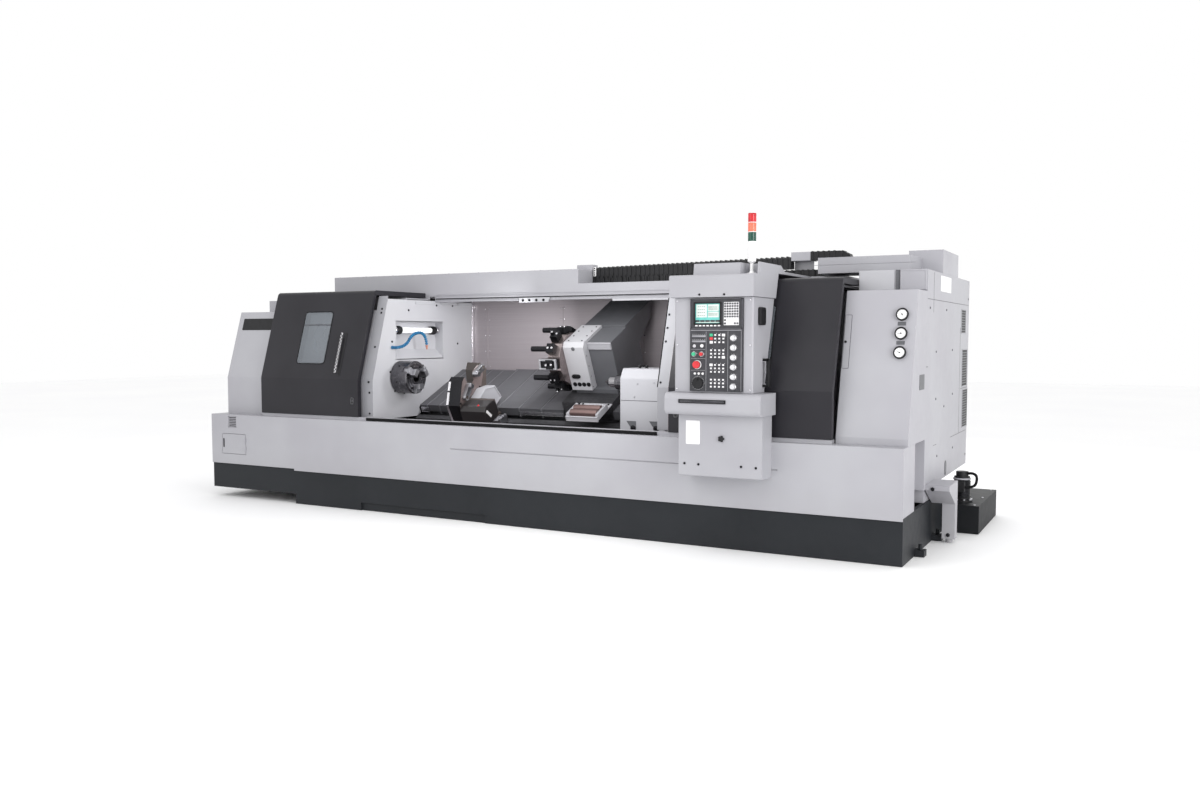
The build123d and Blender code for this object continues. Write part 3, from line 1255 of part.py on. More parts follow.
# Right door, shown open behind the console
right_window_x = right_door_x0 + WINDOW_FROM_EDGE
with BuildPart() as right_door:
    door_shell(right_door_x0, right_door_x1)
    window_cut(right_window_x)
right_door.part.label = "right_door"
export_step(right_door.part, "parts/right_door.step")

with BuildPart() as right_door_window:
    window_glass(right_window_x)
right_door_window.part.label = "right_door_window"
export_step(right_door_window.part, "parts/right_door_window.step")

with BuildPart() as right_door_handle:
    door_handle(right_door_x0 + HANDLE_INSET)
right_door_handle.part.label = "right_door_handle"
export_step(right_door_handle.part, "parts/right_door_handle.step")

# Inner leaf that follows the right door and closes the rest of the opening
with BuildPart() as right_inner_door:
    wrap_sheet(inner_door_x0, inner_door_x1, INNER_DOOR_INSET, INNER_DOOR_SHEET, DOOR_LOW, ROOF_Y)
right_inner_door.part.label = "right_inner_door"
export_step(right_inner_door.part, "parts/right_inner_door.step")

# Console stand: lower box and shelf on the front panel, with the pivot pin
console_x0 = RIGHT - CONSOLE_START
console_x1 = console_x0 + CONSOLE_WIDTH
console_y0 = FRONT - CONSOLE_FRONT
hinge_x = console_x0 + CONSOLE_HINGE_INSET
hinge_y = FRONT - CONSOLE_HINGE_FRONT
shelf_z1 = CONSOLE_BOTTOM - CONSOLE_GAP
shelf_z0 = shelf_z1 - SHELF_HEIGHT
with BuildPart() as console_stand:
    shelf_outline = [
        (FRONT - SHELF_FRONT, shelf_z0),
        (FRONT - SHELF_FRONT, shelf_z1),
        (FRONT + SHELF_BACK, shelf_z1),
        (FRONT + SHELF_BACK, shelf_z0),
    ]
    shelf_rounds = ((shelf_outline[0], SHELF_ROUND), (shelf_outline[1], SHELF_ROUND))
    prism(shelf_outline, console_x0 - SHELF_SIDE, console_x1 + SHELF_RIGHT_SIDE, rounds=shelf_rounds)
    stand_outline = [
        (FRONT - STAND_FRONT, STAND_BOTTOM),
        (FRONT - STAND_FRONT, shelf_z0),
        (FRONT, shelf_z0),
        (FRONT, STAND_BOTTOM),
    ]
    stand_rounds = ((stand_outline[0], STAND_ROUND),)
    prism(stand_outline, console_x0 + STAND_SIDE, console_x1 + STAND_RIGHT_SIDE, rounds=stand_rounds)
    post(hinge_x, hinge_y, shelf_z1, shelf_z1 + CONSOLE_PIN_LENGTH, CONSOLE_PIN_RADIUS)
console_stand.part.label = "console_stand"
export_step(console_stand.part, "parts/console_stand.step")

# Console hood, carried by the upper cover, reaching forwards over the door
hood_x0 = console_x0 - HOOD_SIDE
hood_x1 = console_x1 + HOOD_RIGHT_SIDE
hood_z0 = CONSOLE_TOP + CONSOLE_GAP
hood_ledge = hood_z0 + HOOD_LIP
hood_crown = hood_z0 + HOOD_CROWN
box_y0 = FRONT - HOOD_FRONT + HOOD_LEDGE
pocket_x1 = hood_x1 - HOOD_FIN
pocket_x0 = pocket_x1 - HOOD_POCKET_WIDTH
with BuildPart() as console_hood:
    hood_brow = wrap_line(-HOOD_CLEAR, DOOR_LOW, upper_y0)
    hood_outline = [
        (FRONT - HOOD_FRONT, hood_z0),
        (FRONT - HOOD_FRONT, hood_ledge),
        (box_y0, hood_ledge),
        (FRONT + HOOD_TAIL, hood_brow[3][1] + HOOD_PLATE),
        (upper_y0, hood_brow[3][1] + HOOD_PLATE),
        hood_brow[3],
        hood_brow[2],
        (wrap_at(-HOOD_CLEAR, hood_z0), hood_z0),
    ]
    prism(hood_outline, hood_x0, hood_x1, rounds=((hood_outline[1], HOOD_ROUND),))
    box_outline = [
        (box_y0, hood_ledge),
        (box_y0 + HOOD_BOX_LEAN, hood_crown),
        (FRONT + HOOD_CROWN_BACK, hood_crown),
        (FRONT + HOOD_TAIL, hood_brow[3][1] + HOOD_PLATE),
    ]
    prism(box_outline, hood_x0 + HOOD_BOX_SIDE, hood_x1)
    pocket_y1 = box_y0 + HOOD_POCKET_DEPTH
    pocket_top = hood_crown + OVERRUN
    block(pocket_x0, pocket_x1, box_y0 - OVERRUN, pocket_y1, hood_ledge, pocket_top, Mode.SUBTRACT)
console_hood.part.label = "console_hood"
export_step(console_hood.part, "parts/console_hood.step")

# Console housing, open at the back, with the pull handle on its right side
face_x0 = console_x0 + FACE_INSET
face_x1 = face_x0 + FACE_WIDTH
face_z0 = CONSOLE_BOTTOM + FACE_BOTTOM
face_z1 = face_z0 + FACE_HEIGHT
face_y0 = console_y0 - FACE_THICKNESS
console_kink = wrap_line(-CONSOLE_DOOR_GAP, CONSOLE_BOTTOM, ROOF_Y)[1]
with BuildPart() as console_housing:
    housing_section = [
        (console_y0, CONSOLE_BOTTOM),
        (console_y0, CONSOLE_TOP),
        (wrap_at(-CONSOLE_DOOR_GAP, CONSOLE_TOP), CONSOLE_TOP),
        console_kink,
        (console_kink[0], CONSOLE_BOTTOM),
    ]
    prism(housing_section, console_x0, console_x1)
    fillet(console_housing.edges().filter_by(Axis.Z).group_by(Axis.Y)[0], CONSOLE_ROUND)
    room_y0 = console_y0 + SHEET
    room_y1 = wrap_at(-CONSOLE_DOOR_GAP, CONSOLE_TOP) + OVERRUN
    room_x0 = hinge_x + CONSOLE_HINGE_INSET
    room_z0 = CONSOLE_BOTTOM + SHEET
    block(room_x0, console_x1 - SHEET, room_y0, room_y1, room_z0, CONSOLE_TOP - SHEET, Mode.SUBTRACT)
    pin_top = shelf_z1 + CONSOLE_PIN_LENGTH + OVERRUN
    post(hinge_x, hinge_y, CONSOLE_BOTTOM - OVERRUN, pin_top, CONSOLE_PIN_RADIUS + FIT, Mode.SUBTRACT)
    grip_y0 = FRONT - GRIP_FRONT
    grip_y1 = grip_y0 + GRIP_WIDTH
    grip_x1 = console_x1 + GRIP_STAND
    grip_z0 = GRIP_HEIGHT - GRIP_LENGTH / 2
    grip_z1 = GRIP_HEIGHT + GRIP_LENGTH / 2
    block(grip_x1 - GRIP_WIDTH, grip_x1, grip_y0, grip_y1, grip_z0, grip_z1)
    block(console_x1, grip_x1, grip_y0, grip_y1, grip_z0, grip_z0 + GRIP_WIDTH)
    block(console_x1, grip_x1, grip_y0, grip_y1, grip_z1 - GRIP_WIDTH, grip_z1)
console_housing.part.label = "console_housing"
export_step(console_housing.part, "parts/console_housing.step")


def stud(x, z, y0, y1, radius, mode=Mode.ADD):
    # Round bar along Y, from y0 forwards to y1
    with BuildSketch(Plane.XZ.offset(-y0)) as section:
        with Locations((x, z)):
            Circle(radius)
    extrude(section.sketch, y0 - y1, mode=mode)


def on_face(across, up):
    # Point on the control panel, as shares of its width and height
    return face_x0 + across * FACE_WIDTH, face_z0 + up * FACE_HEIGHT


# Control panel: plate with the screen recess, the selector knobs, and holes for the moving controls
stop_place = on_face(STOP_ACROSS_SHARE, STOP_UP_SHARE)
wheel_place = on_face(WHEEL_ACROSS_SHARE, WHEEL_UP_SHARE)
button_places = {name: on_face(share, BUTTON_UP_SHARE) for name, share in BUTTON_ACROSS_SHARES.items()}
with BuildPart() as control_panel:
    block(face_x0, face_x1, face_y0, console_y0, face_z0, face_z1)
    screen_x0, screen_z0 = on_face(SCREEN_SHARES[0], SCREEN_SHARES[2])
    screen_x1, screen_z1 = on_face(SCREEN_SHARES[1], SCREEN_SHARES[3])
    screen_y = face_y0 + SCREEN_DEPTH
    block(screen_x0, screen_x1, face_y0 - OVERRUN, screen_y, screen_z0, screen_z1, Mode.SUBTRACT)
    for knob in range(KNOBS):
        knob_share = KNOB_LOW_SHARE + (KNOB_HIGH_SHARE - KNOB_LOW_SHARE) * knob / (KNOBS - 1)
        stud(*on_face(KNOB_ACROSS_SHARE, knob_share), face_y0, face_y0 - KNOB_HEIGHT, KNOB_RADIUS)
    for place in (stop_place, wheel_place, *button_places.values()):
        stud(*place, console_y0 + OVERRUN, face_y0 - OVERRUN, STEM_RADIUS + FIT, Mode.SUBTRACT)
control_panel.part.label = "control_panel"
export_step(control_panel.part, "parts/control_panel.step")

# Emergency stop button
with BuildPart() as e_stop:
    stop_y = face_y0 - STOP_STAND
    stud(*stop_place, face_y0 + STEM_INSET, stop_y, STEM_RADIUS)
    stud(*stop_place, stop_y, stop_y - STOP_HEIGHT, STOP_RADIUS)
    fillet(e_stop.edges().filter_by(GeomType.CIRCLE).sort_by(Axis.Y)[0], STOP_HEIGHT / 3)
e_stop.part.label = "e_stop"
export_step(e_stop.part, "parts/e_stop.step")

# Pulse handwheel with its crank knob
with BuildPart() as handwheel:
    wheel_y = face_y0 - WHEEL_STAND
    stud(*wheel_place, face_y0 + STEM_INSET, wheel_y, STEM_RADIUS)
    stud(*wheel_place, wheel_y, wheel_y - WHEEL_HEIGHT, WHEEL_RADIUS)
    crank_y = wheel_y - WHEEL_HEIGHT
    stud(wheel_place[0], wheel_place[1] + CRANK_OFFSET, crank_y, crank_y - CRANK_HEIGHT, CRANK_RADIUS)
handwheel.part.label = "handwheel"
export_step(handwheel.part, "parts/handwheel.step")

# Cycle start and feed hold buttons
for button_name, button_place in button_places.items():
    with BuildPart() as push_button:
        button_y = face_y0 - BUTTON_STAND
        stud(*button_place, face_y0 + STEM_INSET, button_y, STEM_RADIUS)
        stud(*button_place, button_y, button_y - BUTTON_HEIGHT, BUTTON_RADIUS)
    push_button.part.label = button_name
    export_step(push_button.part, f"parts/{button_name}.step")

# Signal light: foot, stem, sounder body and three lenses
with BuildPart() as stack_light:
    light_x = pocket_x1 - LIGHT_INSET
    light_y = box_y0 + LIGHT_BACK
    stem_z = hood_ledge + LIGHT_FOOT
    body_z = stem_z + LIGHT_STEM
    lens_z = body_z + LIGHT_BODY
    light_top = lens_z + LENSES * LENS_HEIGHT
    post(light_x, light_y, hood_ledge, stem_z, LIGHT_FOOT_RADIUS)
    post(light_x, light_y, stem_z, body_z, LIGHT_STEM_RADIUS)
    post(light_x, light_y, body_z, light_top, LIGHT_RADIUS)
    for lens in range(LENSES):
        groove_z0 = lens_z + lens * LENS_HEIGHT
        with BuildSketch(Plane.XY.offset(groove_z0)) as lens_groove:
            with Locations((light_x, light_y)):
                Circle(LIGHT_RADIUS + OVERRUN)
                Circle(LIGHT_RADIUS - LENS_GROOVE_DEPTH, mode=Mode.SUBTRACT)
        extrude(amount=LENS_GROOVE, mode=Mode.SUBTRACT)
stack_light.part.label = "stack_light"
export_step(stack_light.part, "parts/stack_light.step")


def cabinet_outline(inset, low):
    # Section of the right cabinet, moved inwards by inset
    front_y = FRONT + CABINET_FOOT + inset
    back_y = FRONT + CABINET_BACK - inset
    return [
        (front_y, low),
        (front_y, PANEL_TOP + CABINET_LEDGE),
        (front_y + CABINET_LEAN, CABINET_TOP - inset),
        (back_y, CABINET_TOP - inset),
        (back_y, low),
    ]


# Right cabinet beside the right door
cabinet_x0 = RIGHT - CABINET_WIDTH
with BuildPart() as right_cabinet:
    prism(cabinet_outline(0, PANEL_TOP), cabinet_x0, RIGHT)
    prism(cabinet_outline(SHEET, PANEL_TOP - OVERRUN), cabinet_x0 + SHEET, RIGHT - SHEET, Mode.SUBTRACT)
right_cabinet.part.label = "right_cabinet"
export_step(right_cabinet.part, "parts/right_cabinet.step")

# Three pressure gauges on the leaning face of the right cabinet
gauge_rise = CABINET_TOP - PANEL_TOP - CABINET_LEDGE
gauge_lean = atan2(CABINET_LEAN, gauge_rise)
with BuildPart() as pressure_gauges:
    for gauge_z in GAUGE_HEIGHTS:
        gauge_y = FRONT + CABINET_FOOT + (gauge_z - PANEL_TOP - CABINET_LEDGE) * tan(gauge_lean)
        gauge_origin = (RIGHT - GAUGE_INSET, gauge_y, gauge_z)
        gauge_plane = Plane(origin=gauge_origin, x_dir=(1, 0, 0), z_dir=(0, -cos(gauge_lean), sin(gauge_lean)))
        with BuildSketch(gauge_plane) as gauge_section:
            Circle(GAUGE_RADIUS)
        extrude(amount=GAUGE_DEPTH)
pressure_gauges.part.label = "pressure_gauges"
export_step(pressure_gauges.part, "parts/pressure_gauges.step")

# Electrical cabinet on a plinth, with an opening at the back
electric_y0 = FRONT + CABINET_BACK
electric_y1 = FRONT + ELECTRIC_BACK
opening_x0 = electric_x0 + ELECTRIC_DOOR_INSET
opening_x1 = RIGHT - ELECTRIC_DOOR_INSET
opening_z0 = ELECTRIC_BOTTOM + ELECTRIC_DOOR_INSET
opening_z1 = ELECTRIC_TOP - ELECTRIC_DOOR_INSET
with BuildPart() as electrical_cabinet:
    block(electric_x0, RIGHT, electric_y0, electric_y1, ELECTRIC_BOTTOM, ELECTRIC_TOP)
    inside_y0 = electric_y0 + SHEET
    inside_y1 = electric_y1 - SHEET
    inside_x0 = electric_x0 + SHEET
    inside_x1 = RIGHT - SHEET
    inside_z0 = ELECTRIC_BOTTOM + SHEET
    block(inside_x0, inside_x1, inside_y0, inside_y1, inside_z0, ELECTRIC_TOP - SHEET, Mode.SUBTRACT)
    opening_y1 = electric_y1 + OVERRUN
    block(opening_x0, opening_x1, inside_y1 - OVERRUN, opening_y1, opening_z0, opening_z1, Mode.SUBTRACT)
    plinth_x0 = electric_x0 + ELECTRIC_PLINTH_INSET
    plinth_x1 = RIGHT - ELECTRIC_PLINTH_SET
    plinth_y0 = electric_y0 + ELECTRIC_PLINTH_INSET
    block(plinth_x0, plinth_x1, plinth_y0, bed_back_y, BASE_HEIGHT, ELECTRIC_BOTTOM)
electrical_cabinet.part.label = "electrical_cabinet"
export_step(electrical_cabinet.part, "parts/electrical_cabinet.step")

# Door of the electrical cabinet, hinged on its right edge
with BuildPart() as electrical_door:
    edoor_x0 = opening_x0 + ELECTRIC_DOOR_GAP
    edoor_x1 = opening_x1 - ELECTRIC_DOOR_GAP
    edoor_z0 = opening_z0 + ELECTRIC_DOOR_GAP
    edoor_z1 = opening_z1 - ELECTRIC_DOOR_GAP
    block(edoor_x0, edoor_x1, electric_y1 - SHEET, electric_y1, edoor_z0, edoor_z1)
    knuckle_y = electric_y1 + ELECTRIC_HINGE_RADIUS
    for knuckle_z in (edoor_z0 + ELECTRIC_HINGE_LENGTH, edoor_z1 - 2 * ELECTRIC_HINGE_LENGTH):
        knuckle_top = knuckle_z + ELECTRIC_HINGE_LENGTH
        post(edoor_x1, knuckle_y, knuckle_z, knuckle_top, ELECTRIC_HINGE_RADIUS)
        block(edoor_x1 - 2 * ELECTRIC_HINGE_RADIUS, edoor_x1, electric_y1, knuckle_y, knuckle_z, knuckle_top)
electrical_door.part.label = "electrical_door"
export_step(electrical_door.part, "parts/electrical_door.step")

# Cooling unit on the roof of the electrical cabinet
with BuildPart() as roof_unit:
    unit_y0 = FRONT + ROOF_UNIT_FRONT
    box_y0 = FRONT + ROOF_BOX_FRONT
    unit_x0 = RIGHT - ROOF_UNIT_LENGTH
    unit_x1 = RIGHT - ROOF_UNIT_RIGHT
    unit_top = ELECTRIC_TOP + ROOF_UNIT_HEIGHT
    block(unit_x0, unit_x1, unit_y0, unit_y0 + ROOF_UNIT_DEPTH, ELECTRIC_TOP, unit_top)
    box_top = ELECTRIC_TOP + ROOF_BOX_HEIGHT
    block(RIGHT - ROOF_BOX_WIDTH, RIGHT, box_y0, box_y0 + ROOF_BOX_DEPTH, ELECTRIC_TOP, box_top)
roof_unit.part.label = "roof_unit"
export_step(roof_unit.part, "parts/roof_unit.step")

# Coolant tank behind the base, with a lid over its right end
tank_x1 = RIGHT + TANK_PROUD
tank_x0 = tank_x1 - TANK_LENGTH
tank_y0 = BACK
tank_y1 = tank_y0 + TANK_DEPTH
with BuildPart() as coolant_tank:
    block(tank_x0, tank_x1, tank_y0, tank_y1, 0, TANK_HEIGHT)
    pool_x1 = tank_x1 - SHEET
    pool_y0 = tank_y0 + SHEET
    pool_y1 = tank_y1 - SHEET
    block(tank_x0 + SHEET, pool_x1, pool_y0, pool_y1, SHEET, TANK_HEIGHT + OVERRUN, Mode.SUBTRACT)
    block(RIGHT, tank_x1, tank_y0, tank_y1, TANK_HEIGHT - TANK_LID, TANK_HEIGHT)
coolant_tank.part.label = "coolant_tank"
export_step(coolant_tank.part, "parts/coolant_tank.step")

# Coolant pump on the tank's lid
with BuildPart() as coolant_pump:
    pump_x = RIGHT + PUMP_OUT
    pump_y = FRONT + PUMP_BACK
    flange_z = TANK_HEIGHT + PUMP_FLANGE
    cap_z = flange_z + PUMP_HEIGHT
    post(pump_x, pump_y, TANK_HEIGHT, flange_z, PUMP_FLANGE_RADIUS)
    post(pump_x, pump_y, flange_z, cap_z, PUMP_RADIUS)
    post(pump_x, pump_y, cap_z, cap_z + PUMP_CAP, PUMP_CAP_RADIUS)
    half_box = PUMP_BOX / 2
    box_z0 = cap_z - PUMP_BOX - half_box
    block(pump_x - half_box, pump_x + half_box, pump_y - PUMP_FLANGE_RADIUS, pump_y, box_z0, cap_z - half_box)
coolant_pump.part.label = "coolant_pump"
export_step(coolant_pump.part, "parts/coolant_pump.step")

# Leg that props the electrical cabinet at the right end
with BuildPart() as cabinet_leg:
    leg_x0 = RIGHT + LEG_OUT
    leg_x1 = leg_x0 + LEG_SIZE
    leg_y0 = FRONT + LEG_BACK
    leg_y1 = leg_y0 + LEG_SIZE
    post((leg_x0 + leg_x1) / 2, (leg_y0 + leg_y1) / 2, 0, LEG_FOOT, LEG_FOOT_RADIUS)
    block(leg_x0, leg_x1, leg_y0, leg_y1, LEG_FOOT, LEG_TOP)
    arm_outline = [
        (leg_y0, LEG_TOP),
        (leg_y1, LEG_TOP),
        (leg_y1, LEG_ARM_TOP),
        (FRONT + LEG_ARM_FRONT, LEG_ARM_TOP),
        (FRONT + LEG_ARM_FRONT, LEG_ARM_TOP - LEG_ARM_THICKNESS),
    ]
    prism(arm_outline, RIGHT, leg_x1)
cabinet_leg.part.label = "cabinet_leg"
export_step(cabinet_leg.part, "parts/cabinet_leg.step")
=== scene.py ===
import bpy
import bmesh
import math
from mathutils import Matrix, Vector


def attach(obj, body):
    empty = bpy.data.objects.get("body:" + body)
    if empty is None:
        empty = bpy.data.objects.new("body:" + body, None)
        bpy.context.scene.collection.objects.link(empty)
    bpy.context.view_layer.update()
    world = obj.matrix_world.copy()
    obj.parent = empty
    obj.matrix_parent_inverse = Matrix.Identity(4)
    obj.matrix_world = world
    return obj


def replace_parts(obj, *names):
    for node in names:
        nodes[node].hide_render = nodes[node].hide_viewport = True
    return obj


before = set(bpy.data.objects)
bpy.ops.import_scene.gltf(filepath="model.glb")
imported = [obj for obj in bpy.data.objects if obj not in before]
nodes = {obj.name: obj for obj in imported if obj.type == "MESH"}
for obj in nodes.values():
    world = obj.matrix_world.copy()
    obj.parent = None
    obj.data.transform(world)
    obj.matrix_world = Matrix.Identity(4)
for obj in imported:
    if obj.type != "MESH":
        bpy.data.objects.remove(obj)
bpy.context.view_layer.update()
bpy.context.view_layer.update()
print("frame loaded:", len(nodes), "nodes")


# places are in machine millimetres: from the left end, from the front face, from the floor
def at(x, y, z):
    return Vector(((x - 3350) / 1000, (y - 740) / 1000, z / 1000))


bedSlope = math.radians(25)
doorLean = math.atan2(243, 815)
upSlope = (0, math.cos(bedSlope), math.sin(bedSlope))
offSlope = (0, -math.sin(bedSlope), math.cos(bedSlope))
upLean = (0, math.sin(doorLean), math.cos(doorLean))


def onSlant(x, along, above):  # from the spindle axis, up the bed slope and square to it
    place = at(x, 520, 1190)
    return place + Vector(upSlope) * along / 1000 + Vector(offSlope) * above / 1000


def facing(origin, across, up):  # a flat place to work on: across, up and out of the face
    across, up = Vector(across).normalized(), Vector(up).normalized()
    turn = Matrix((across, up, across.cross(up))).transposed().to_4x4()
    return Matrix.Translation(origin) @ turn


def frontAt(x, y, z):
    return facing(at(x, y, z), (1, 0, 0), (0, 0, 1))


def rightAt(x, y, z):
    return facing(at(x, y, z), (0, 1, 0), (0, 0, 1))


def leftAt(x, y, z):
    return facing(at(x, y, z), (0, -1, 0), (0, 0, 1))


def backAt(x, y, z):
    return facing(at(x, y, z), (-1, 0, 0), (0, 0, 1))


def topAt(x, y, z):
    return facing(at(x, y, z), (1, 0, 0), (0, 1, 0))


def leanAt(x, rise, out=0):  # on the leaning stretch of the doors, above the kink
    base = at(x, 57, 1180) + Vector(upLean) * rise / 1000
    face = facing(base, (1, 0, 0), upLean)
    return face @ Matrix.Translation((0, 0, out / 1000))


def seated(name, start, look, up=(0, 0, 1)):  # where a look along a line first meets a CAD part
    hit, spot, normal, face = nodes[name].ray_cast(at(*start), Vector(look).normalized())
    if not hit:
        raise ValueError("nothing to sit on: " + name + str(start))
    across = Vector(up).cross(normal)
    return facing(spot, across, normal.cross(across))


def frontOf(name, x, z):  # the front of a CAD part, as the operator sees it
    return seated(name, (x, -400, z), (0, 1, 0))


# pieces are made flat on the work place, with their backs at zero, then settled
def deselect():
    bpy.ops.object.select_all(action="DESELECT")


def flatPlate(width, height, thick, corner=0, edge=1, rounds=3):
    deselect()
    size = (width / 1000, height / 1000, thick / 1000)
    bpy.ops.mesh.primitive_cube_add(size=1, location=(0, 0, thick / 2000), scale=size)
    piece = bpy.context.object
    bpy.ops.object.transform_apply(location=True, rotation=True, scale=True)
    bpy.ops.object.mode_set(mode="EDIT")
    bpy.ops.mesh.select_mode(type="EDGE")
    if corner:
        pickEdges(piece, lambda a, b: abs(a.z - b.z) > 1e-6)
        bpy.ops.mesh.bevel(offset=corner / 1000, segments=rounds + 1, affect="EDGES")
    if edge:
        pickEdges(piece, lambda a, b: min(a.z, b.z) > thick / 1000 - 1e-6)
        bpy.ops.mesh.bevel(offset=edge / 1000, segments=rounds - 1, affect="EDGES")
    bpy.ops.object.mode_set(mode="OBJECT")
    return piece


def roundBoss(radius, thick, edge=1, sides=24):
    deselect()
    middle = (0, 0, thick / 2000)
    bpy.ops.mesh.primitive_cylinder_add(vertices=sides, radius=radius / 1000, depth=thick / 1000,
                                        location=middle)
    piece = bpy.context.object
    bpy.ops.object.transform_apply(location=True, rotation=True, scale=True)
    if edge:
        bpy.ops.object.mode_set(mode="EDIT")
        bpy.ops.mesh.select_mode(type="EDGE")
        pickEdges(piece, lambda a, b: min(a.z, b.z) > thick / 1000 - 1e-6)
        bpy.ops.mesh.bevel(offset=edge / 1000, segments=2, affect="EDGES")
        bpy.ops.object.mode_set(mode="OBJECT")
    return piece


def pickEdges(piece, wanted):
    bpy.ops.mesh.select_all(action="DESELECT")
    shape = bmesh.from_edit_mesh(piece.data)
    for edge in shape.edges:
        edge.select_set(wanted(edge.verts[0].co, edge.verts[1].co))
    bmesh.update_edit_mesh(piece.data)


def workTop(piece, moves):  # insets (in) and pulls (out) of the highest face
    bpy.ops.object.mode_set(mode="EDIT")
    bpy.ops.mesh.select_mode(type="FACE")
    bpy.ops.mesh.select_all(action="DESELECT")
    shape = bmesh.from_edit_mesh(piece.data)
    high = max(face.calc_center_median().z for face in shape.faces if face.normal.z > 0.9)
    for face in shape.faces:
        face.select_set(face.normal.z > 0.9 and face.calc_center_median().z > high - 1e-6)
    bmesh.update_edit_mesh(piece.data)
    for kind, size in moves:
        if kind == "in":
            bpy.ops.mesh.inset(thickness=size / 1000, depth=0)
        else:
            bpy.ops.mesh.extrude_region_move(TRANSFORM_OT_translate={"value": (0, 0, size / 1000)})
    bpy.ops.object.mode_set(mode="OBJECT")
    return piece


# a plate with its middle, inside the rim, pressed in or raised
def pressedPlate(width, height, thick, rim, press, corner=0, edge=1):
    return workTop(flatPlate(width, height, thick, corner, edge), [("in", rim), ("out", press)])


def settle(piece, place, x=0, y=0, out=0, turn=0):  # from the work place to its own place
    spot = spots(place, [(x, y)], out, turn)[0]
    deselect()
    piece.select_set(True)
    bpy.context.view_layer.objects.active = piece
    piece.matrix_world = spot
    bpy.ops.object.transform_apply(location=True, rotation=True, scale=True)
    return piece


def copies(master, places):  # each with its own mesh, joined to one piece
    twins = []
    for place in places:
        twin = master.copy()
        twin.data = master.data.copy()
        bpy.context.collection.objects.link(twin)
        twin.data.transform(place)
        twins.append(twin)
    bpy.data.objects.remove(master)
    return joined(twins)


def spots(place, points, out=0, turn=0):  # places across and up on a face, turned in it by degrees
    lift = [Matrix.Translation((p[0] / 1000, p[1] / 1000, out / 1000)) for p in points]
    return [place @ move @ Matrix.Rotation(math.radians(turn), 4, "Z") for move in lift]


def boltCircle(radius, angles):
    return [(radius * math.cos(math.radians(a)), radius * math.sin(math.radians(a))) for a in angles]


def dialMarks(centres, angles, radius, out=0):  # places round each dial, pointing outwards
    step = Matrix.Translation((0, radius / 1000, out / 1000))
    return [centre @ Matrix.Rotation(math.radians(angle), 4, "Z") @ step for centre in centres
            for angle in angles]


def joined(pieces):
    deselect()
    for piece in pieces:
        piece.select_set(True)
    bpy.context.view_layer.objects.active = pieces[0]
    if len(pieces) > 1:
        bpy.ops.object.join()
    return bpy.context.object


# names the piece, gives it the finish, smooths it and hangs it on its body; slot is worked out as the
# finish's own unless given, and is set on nothing
def dress(piece, name, finish, body="frame", slot=None, smooth=35):
    slot = slot or finishSlot[finish]
    piece.name = name
    piece.data.name = name
    piece.data.materials.clear()
    piece.data.materials.append(finish)
    deselect()
    piece.select_set(True)
    bpy.context.view_layer.objects.active = piece
    bpy.ops.object.shade_smooth_by_angle(angle=math.radians(smooth))
    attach(piece, body)
    return piece


def headScrew(radius=7, high=5):  # button head with a driven socket
    screw = roundBoss(radius, high, edge=high * 0.4, sides=14)
    return workTop(screw, [("in", radius * 0.35), ("out", -high * 0.5)])


def fasten(name, radius, high, places, finish, body="frame"):  # the same screw at every place
    dress(copies(headScrew(radius, high), places), name, finish, body)


def turned(profile, sides=28, ring=False):  # radius and height pairs, drawn up step by step as on a wheel
    deselect()
    radius, height = profile[0]
    fill, middle = "NOTHING" if ring else "NGON", (0, 0, height / 1000)
    bpy.ops.mesh.primitive_circle_add(vertices=sides, radius=radius / 1000, fill_type=fill, location=middle)
    piece = bpy.context.object
    bpy.ops.object.transform_apply(location=True, rotation=True, scale=True)
    bpy.ops.object.mode_set(mode="EDIT")
    bpy.ops.mesh.select_mode(type="EDGE" if ring else "FACE")
    bpy.ops.mesh.select_all(action="SELECT")
    for nextRadius, nextHeight in profile[1:]:
        lift = {"value": (0, 0, (nextHeight - height) / 1000)}
        if ring:
            bpy.ops.mesh.extrude_edges_move(TRANSFORM_OT_translate=lift)
        else:
            bpy.ops.mesh.extrude_region_move(TRANSFORM_OT_translate=lift)
        grow = nextRadius / radius
        bpy.ops.transform.resize(value=(grow, grow, 1), center_override=(0, 0, nextHeight / 1000))
        radius, height = nextRadius, nextHeight
    if ring:
        bpy.ops.mesh.select_all(action="DESELECT")
        bpy.ops.mesh.select_non_manifold()
        bpy.ops.mesh.bridge_edge_loops()
    bpy.ops.mesh.select_all(action="SELECT")
    bpy.ops.mesh.normals_make_consistent(inside=False)
    bpy.ops.object.mode_set(mode="OBJECT")
    return piece


def thicken(piece, thick, edge):  # a flat outline becomes a plate with eased front edges
    skin = piece.modifiers.new("thick", "SOLIDIFY")
    skin.thickness, skin.offset = thick / 1000, 1
    bpy.ops.object.modifier_apply(modifier="thick")
    if edge:
        bpy.ops.object.mode_set(mode="EDIT")
        bpy.ops.mesh.select_mode(type="EDGE")
        pickEdges(piece, lambda a, b: min(a.z, b.z) > thick / 1000 - 1e-6)
        bpy.ops.mesh.bevel(offset=edge / 1000, segments=2, affect="EDGES")
        bpy.ops.object.mode_set(mode="OBJECT")
    return piece


